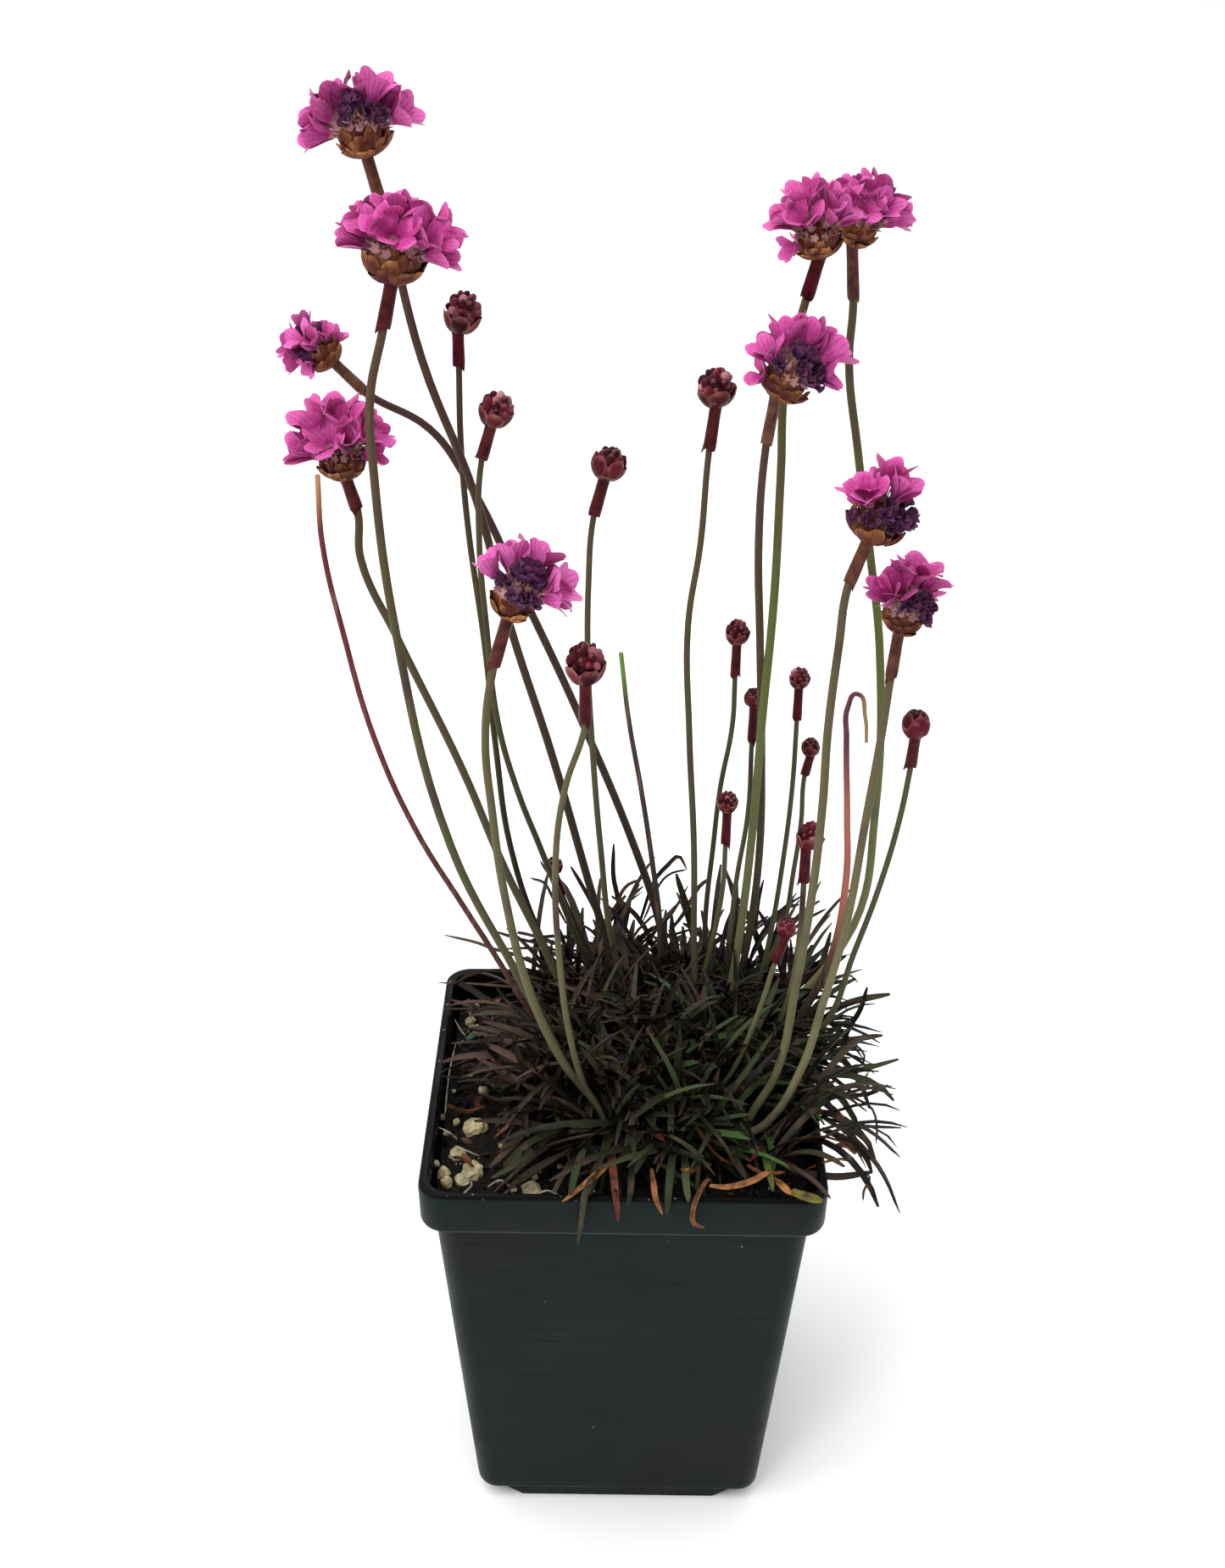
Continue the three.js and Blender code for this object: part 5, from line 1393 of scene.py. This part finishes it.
for number, (middle, radius, route) in enumerate(BUDS, 1):
    chance = random.Random(300 + number)
    place = stand(route[0], middle) @ Matrix.Diagonal((1, 1, BUD_HEIGHTS[number - 1], 1))
    placings = [(bud_core, place @ Matrix.Scale(radius * 0.96, 4), 0.0, 1.0)]
    is_closed = number in CLOSED_BUDS
    for row, (count, *_, kind_of_it) in enumerate(BUD_WHORLS if is_closed else BUD_WHORLS[:2]):
        for k in range(count):
            turn = 360 * (k + 0.5 * (row % 2)) / count + chance.uniform(-9, 9)
            tilt = chance.uniform(-2, 4)
            own = place_of((0, 0, 0), (0, tilt, turn), radius * chance.uniform(0.93, 1.02))
            placings.append((bud_bracts[row], place @ own, 0.75 * chance.random(), kind_of_it))
    for count, polar in KNOB_RINGS[2:] if is_closed else KNOB_RINGS:
        for k in range(count):
            turn = 360 * (k + chance.uniform(-0.15, 0.15)) / count + polar
            leaning = place_of((0, 0, 1), (0, 180 - polar + chance.uniform(-9, 9), turn))
            width = chance.uniform(0.19, 0.33)
            own = leaning @ place_of((0, 0, 0.74), (0, 0, 0), (width, width, 0.32))
            # Knobs on the open buds get a chance tone, and the highest of them are painted pale pink
            # as highlights.
            light = 0.0 if is_closed else chance.random() ** 1.5
            placings.append((knob, place @ Matrix.Scale(radius, 4) @ own, light, 1.0))
    length = (Vector(route[0]) - Vector(route[1])).length + 0.5
    thick = 0.78 if radius < SMALL_BUD else 0.92
    own = Matrix.Diagonal((thick, thick, length / SHEATH_LENGTH, 1))
    placings.append((
        sheaths[number % 4],
        stand(route[1], route[0]) @ place_of((0, 0, 0), (0, 0, chance.uniform(0, 360))) @ own,
        chance.uniform(0, 0.15), 2.0,
    ))
    belongs(set_out(f"bud_{number}_scales", placings), papery, "bud", f"bud_{number}_head")
put_away(bud_core, knob, *bud_bracts)


# The cups. A bowl of overlapping tan bracts under each open head, with the ribbed pinkish
# calyces of the florets crowding out of it.
CUP_RADIUS = 0.475
CUP_DEPTH = 0.4
CUP_ROWS = (
    # Count, lowest and highest polar angle, half width in degrees, swell, flare.
    (5, 4, 60, 50, 1.05, 0.05), (8, 18, 84, 32, 1.03, 0.09), (10, 42, 102, 23, 1.0, 0.05),
    (10, 64, 118, 18, 0.95, 0.0),
)
# How wide the cup of each head is, as a share of the usual one, and how light its scales
# are from the lowest row up.
CUP_SIZES = (0.88, 0.97, 1.0, 0.95, 0.82, 0.95, 0.88, 1.0, 0.97, 0.86)
CUP_LIGHT = (1.0, 0.9, 0.6, 0.35)
cup_bracts = [
    blade(f"cup_bract_{row}", 4, 4, bract_shape(*shape))
    for row, (_, *shape) in enumerate(CUP_ROWS)
]
cup_core = added(
    "cup_core", bpy.ops.mesh.primitive_uv_sphere_add,
    segments=20, ring_count=12, radius=0.9 * MM, location=(0, 0, MM),
)
at_rest(cup_core)
calyx = added(
    "calyx", bpy.ops.mesh.primitive_cone_add, vertices=10,
    radius1=0.45 * MM, radius2=1.2 * MM, depth=6.8 * MM, location=(0, 0, 3.4 * MM),
)
at_rest(calyx)
for number, point in enumerate(calyx.data.vertices):
    if number // 2 % 2:
        point.co.x *= 0.7
        point.co.y *= 0.7
        if point.co.z > 4 * MM:
            point.co.z -= 1.1 * MM

# How far out along the head's axis the florets spring from, as a share of its radius, and
# how many florets and bare calyces stand at each polar angle.
FLORET_MIDDLE = 0.32
FLORET_RINGS = ((1, 0), (4, 28), (8, 53))
BARE_CALYCES = ((12, 62), (8, 42))


def floret_places(chance, rings):
    """Where florets stand on a head: turned out from its axis, ring by ring."""
    for count, polar in rings:
        start = chance.uniform(0, 360)
        for k in range(count):
            azimuth = start + 360 * k / count + chance.uniform(-8, 8)
            tilt = polar + chance.uniform(-6, 6)
            yield place_of((0, 0, 0), (0, tilt, azimuth))


# The florets. Each is a small funnel of five broad rounded petals, bright magenta, their paler edge a
# painted glow of light shining through the thin rim, and the withered ones are crumpled shut in deep
# violet.
PETAL_FOOT = 6.4
PETAL_ROWS = 5
WITHERED_SORTS = 5


def petal_shape(open_out, reach, width, crumple, chance):
    """The form of a petal on the side of its funnel, with chance ruffles."""
    ruffles = [chance.uniform(-crumple, crumple) for _ in range(6)]
    sway = chance.uniform(-0.3, 0.3)
    cupped = chance.uniform(-0.04, 0.16)

    def shaped(across, along, is_back):
        off = 2 * across - 1
        wide = width * table((0.24, 0.42, 0.7, 0.93, 1.0, 0.84), along)
        out = 0.5 + open_out * along ** 1.6 - cupped * wide * off * off
        up = PETAL_FOOT + reach * along - 0.1 * open_out * along ** 3
        rounded = 0.24 * width * along ** 6 * abs(off) ** 2.3
        fold = table(ruffles[:3] if off < 0 else ruffles[3:], along) * along * abs(off)
        if is_back and 0 < across < 1 and 0 < along < 1:
            up -= 0.1
            out += 0.1
        return Vector((
            out - 0.7 * rounded - fold, off * wide / 2 + sway * along, up - rounded + 0.5 * fold,
        ))
    return shaped


def floret_model(name, seed, open_out, reach, width, crumple):
    """Five petals round one throat."""
    chance = random.Random(seed)
    petals = [
        blade(f"petal_{k}", 4, PETAL_ROWS, petal_shape(
            open_out * chance.uniform(0.8, 1.2), reach * chance.uniform(0.92, 1.08),
            width * chance.uniform(0.88, 1.08), crumple, chance,
        ))
        for k in range(5)
    ]
    whole = set_out(name, [
        (petal, place_of(
            (0, 0, 0), (chance.uniform(-7, 7), 0, 72 * k + chance.uniform(-8, 8))
        ), 0, 0)
        for k, petal in enumerate(petals)
    ])
    put_away(*petals)
    return whole


FRESH_SORTS = (
    # How far a petal opens and reaches, and its width.
    (4.6, 6.6, 4.7), (3.7, 7.3, 4.5), (5.3, 6.0, 4.9), (2.9, 7.6, 4.2), (4.2, 6.8, 5.0),
    (3.3, 7.1, 4.6),
)
fresh = [floret_model(f"fresh_{k}", 40 + k, *sort, 0.2) for k, sort in enumerate(FRESH_SORTS)]
withered = [
    floret_model(f"withered_{k}", 60 + k, 1.1, 3.7, 2.7, 1.7) for k in range(WITHERED_SORTS)
]

petal_skin, tree, shader, spot = finish(
    "petal_skin", Roughness=0.5, Sheen_Weight=0.08, Specular_IOR_Level=0.15
)
tone = own_value(tree, "tone")
kind = own_value(tree, "kind")
face = node(tree, "ShaderNodeSeparateXYZ", Vector=node(tree, "ShaderNodeUVMap").outputs[0])
deep = blend_of(tree, tone, (0.25, 0.008, 0.105), (0.46, 0.05, 0.25))
bright = blend_of(tree, tone, (0.45, 0.024, 0.2), (0.72, 0.16, 0.47))
pink = blend_of(tree, shares(tree, face.outputs["Y"], 0.2, 0.8), deep, bright)
veined = node(
    tree, "ShaderNodeTexWave", {"wave_type": "BANDS", "bands_direction": "X"},
    Vector=node(tree, "ShaderNodeUVMap").outputs[0], Scale=1.3, Distortion=2.0,
).outputs["Fac"]
pink = blend_of(tree, shares(tree, veined, 0.6, 1.4), pink, (0.3, 0.014, 0.14))
blotched = placed_effect(tree, clouded, Place=spot, Scale=520.0)["Value"]
pink = blend_of(tree, shares(tree, blotched, 0.55, 1.3), pink, (0.68, 0.11, 0.42))
throat = blend_of(tree, shares(tree, face.outputs["Y"], 0.2, 0.02), pink, (0.6, 0.3, 0.34))
# A lighter rim on every petal: painted light for light shining through the thin edge.
edge_light_painted = blend_of(tree, shares(tree, face.outputs["Y"], 0.84, 1.06), throat, (0.66, 0.14, 0.43))
violet_deep = blend_of(tree, tone, (0.016, 0.003, 0.016), (0.085, 0.014, 0.1))
violet = blend_of(
    tree, shares(tree, face.outputs["Y"], 0.4, 1.0), violet_deep, (0.1, 0.02, 0.07)
)
tree.links.new(blend_of(tree, kind, edge_light_painted, violet), shader.inputs["Base Color"])
skinned(tree, shader, spot, scale=1300.0, strength=0.3, depth=0.0002)

# Which florets of each head have withered, as directions out of the head and the degrees
# that each reaches, the share of the others that has withered here and there, and how far
# the florets nod towards -Y, in degrees.
WITHERED = (
    (((0.05, -1, 0.75), 50), 0.0, -8), (((0.3, -1, 0.6), 14), 0.0, -18),
    (((-0.4, -0.8, 0.2), 26), 0.15, -5), (((0, 0, 1), 0), 0.0, -12),
    (((0.0, -0.8, 0.6), 50), 0.0, 2), (((0, -0.2, 1), 10), 0.0, -16),
    (((-0.3, 0, 1), 12), 0.0, -16), (((0.4, -0.9, 0.35), 50), 0.05, -6),
    (((0, -0.3, -1), 130), 0.05, -14), (((0.7, -0.75, 0.3), 62), 0.0, -2),
)
# How far the florets of each head reach, as a share of its dome.
HEAD_REACH = (0.88, 0.86, 0.8, 0.92, 0.9, 0.87, 0.87, 0.92, 0.84, 0.87)
# How light the pinks of each head are.
HEAD_LIGHT = (0.45, 0.1, 0.95, 0.3, 1.0, 0.4, 0.4, 0.35, 0.2, 0.0)
# Single florets that stand out below the others, as directions out of each head.
STRAYS = (
    ((-1, -0.3, 0.18), (-1, -0.1, 0.5), (1, -0.1, 0.55)), ((1, -0.3, 0.25), (-1, -0.2, 0.6)),
    ((0.6, 0.1, 0.85), (-0.6, -0.7, -0.3)), ((-1, -0.3, 0.42), (1, -0.3, 0.4)),
    ((1, -0.2, 0.42),), ((-1, -0.6, -0.05),), ((1, 0, 0.3),),
    ((1, -0.4, 0.25), (-1, -0.5, 0.5)),
    ((1, -0.3, 0.4), (-1, -0.5, 0.55), (-0.5, -1, 0.5), (0.3, -1, 0.45), (0.8, -0.8, 0.5)),
    ((1, -0.3, 0.2), (-0.5, -0.8, -0.4)),
)
# How brown the sheath of each head is: 0 is wine-red.
SHEATH_BROWN = (0.6, 0.1, 1.0, 0.15, 0.3, 0.0, 0.6, 0.75, 0.5, 0.6)
FLORET_LENGTH = 13.9


for number, (middle, radius, _, route) in enumerate(FLOWERS, 1):
    chance = random.Random(500 + number)
    (direction, reach), scattered, nod = WITHERED[number - 1]
    place = stand(route[0], middle)
    size = radius / 11
    half_cup = CUP_SIZES[number - 1] * CUP_RADIUS * radius
    bowl = Matrix.Diagonal((half_cup, half_cup, CUP_DEPTH * radius, 1))
    cup = [(cup_core, place @ bowl, 0.2, 0.0)]
    for row, (count, *_) in enumerate(CUP_ROWS):
        for k in range(count):
            turn = 360 * (k + 0.5 * (row % 2)) / count + chance.uniform(-10, 10)
            tilt = chance.uniform(-4, 8)
            own = place_of((0, 0, 0), (0, tilt, turn), chance.uniform(0.92, 1.08))
            light = CUP_LIGHT[row] * chance.random()
            cup.append((cup_bracts[row], place @ bowl @ own, light, 0.0))
    length = (Vector(route[0]) - Vector(route[1])).length + 0.8
    brown = SHEATH_BROWN[number - 1]
    own = Matrix.Diagonal((1 - 0.16 * brown, 1 - 0.16 * brown, length / SHEATH_LENGTH, 1))
    cup.append((
        sheaths[number % 4],
        stand(route[1], route[0]) @ place_of((0, 0, 0), (0, 0, chance.uniform(0, 360))) @ own,
        brown, 2.0,
    ))
    direction = Vector(direction).normalized()
    nodded = Matrix.Rotation(math.radians(nod), 4, "X")
    florets = []
    for turned in floret_places(chance, BARE_CALYCES):
        spring = place @ place_of((0, 0, (FLORET_MIDDLE + 0.01) * radius)) @ turned
        own = spring @ Matrix.Scale(size * chance.uniform(0.75, 0.95), 4)
        cup.append((calyx, own, chance.random(), 3.0))
    middle_of_florets = place @ Vector((0, 0, FLORET_MIDDLE * radius * MM))
    rise = (Vector(middle) - middle_of_florets / MM).length
    axis = (Vector(middle) * MM - middle_of_florets).normalized()
    springs = [
        Matrix.Translation(middle_of_florets) @ nodded @ place.to_3x3().to_4x4() @ turned
        for turned in floret_places(chance, FLORET_RINGS)
    ]
    springs += [
        stand(middle_of_florets / MM, middle_of_florets / MM + Vector(stray))
        for stray in STRAYS[number - 1]
    ]
    for spring in springs:
        outwards = (spring.to_3x3() @ Vector((0, 0, 1))).normalized()
        is_withered = math.degrees(outwards.angle(direction)) < reach or chance.random() < scattered
        along_axis = outwards.dot(axis)
        to_dome = rise * along_axis + math.sqrt(radius ** 2 - rise ** 2 * (1 - along_axis ** 2))
        wider = HEAD_REACH[number - 1] + 0.16 * abs(outwards.x)
        grow = wider * to_dome / FLORET_LENGTH * chance.uniform(0.87, 1.04)
        spun = place_of((0, 0, 0), (0, 0, chance.uniform(0, 72)))
        grown = spring @ spun @ Matrix.Scale(grow, 4)
        light = 0.6 * HEAD_LIGHT[number - 1] + 0.4 * chance.random()
        if is_withered:
            for _ in range(2):
                tilt = (chance.uniform(-11, 11), chance.uniform(-11, 11), 0)
                shrunk = Matrix.Scale(chance.uniform(0.84, 1.0), 4)
                own = grown @ place_of((0, 0, 0), tilt) @ shrunk
                florets.append((chance.choice(withered), own, chance.random(), 1.0))
        else:
            florets.append((chance.choice(fresh), grown, light, 0.0))
        cup.append((calyx, grown, chance.random(), 3.0))
    belongs(set_out(f"flower_{number}_cup", cup), papery, "bud", f"flower_{number}_stalk")
    belongs(
        set_out(f"flower_{number}_petals", florets), petal_skin, "petal", f"flower_{number}_florets"
    )
put_away(cup_core, calyx, *cup_bracts, *sheaths, *fresh, *withered)
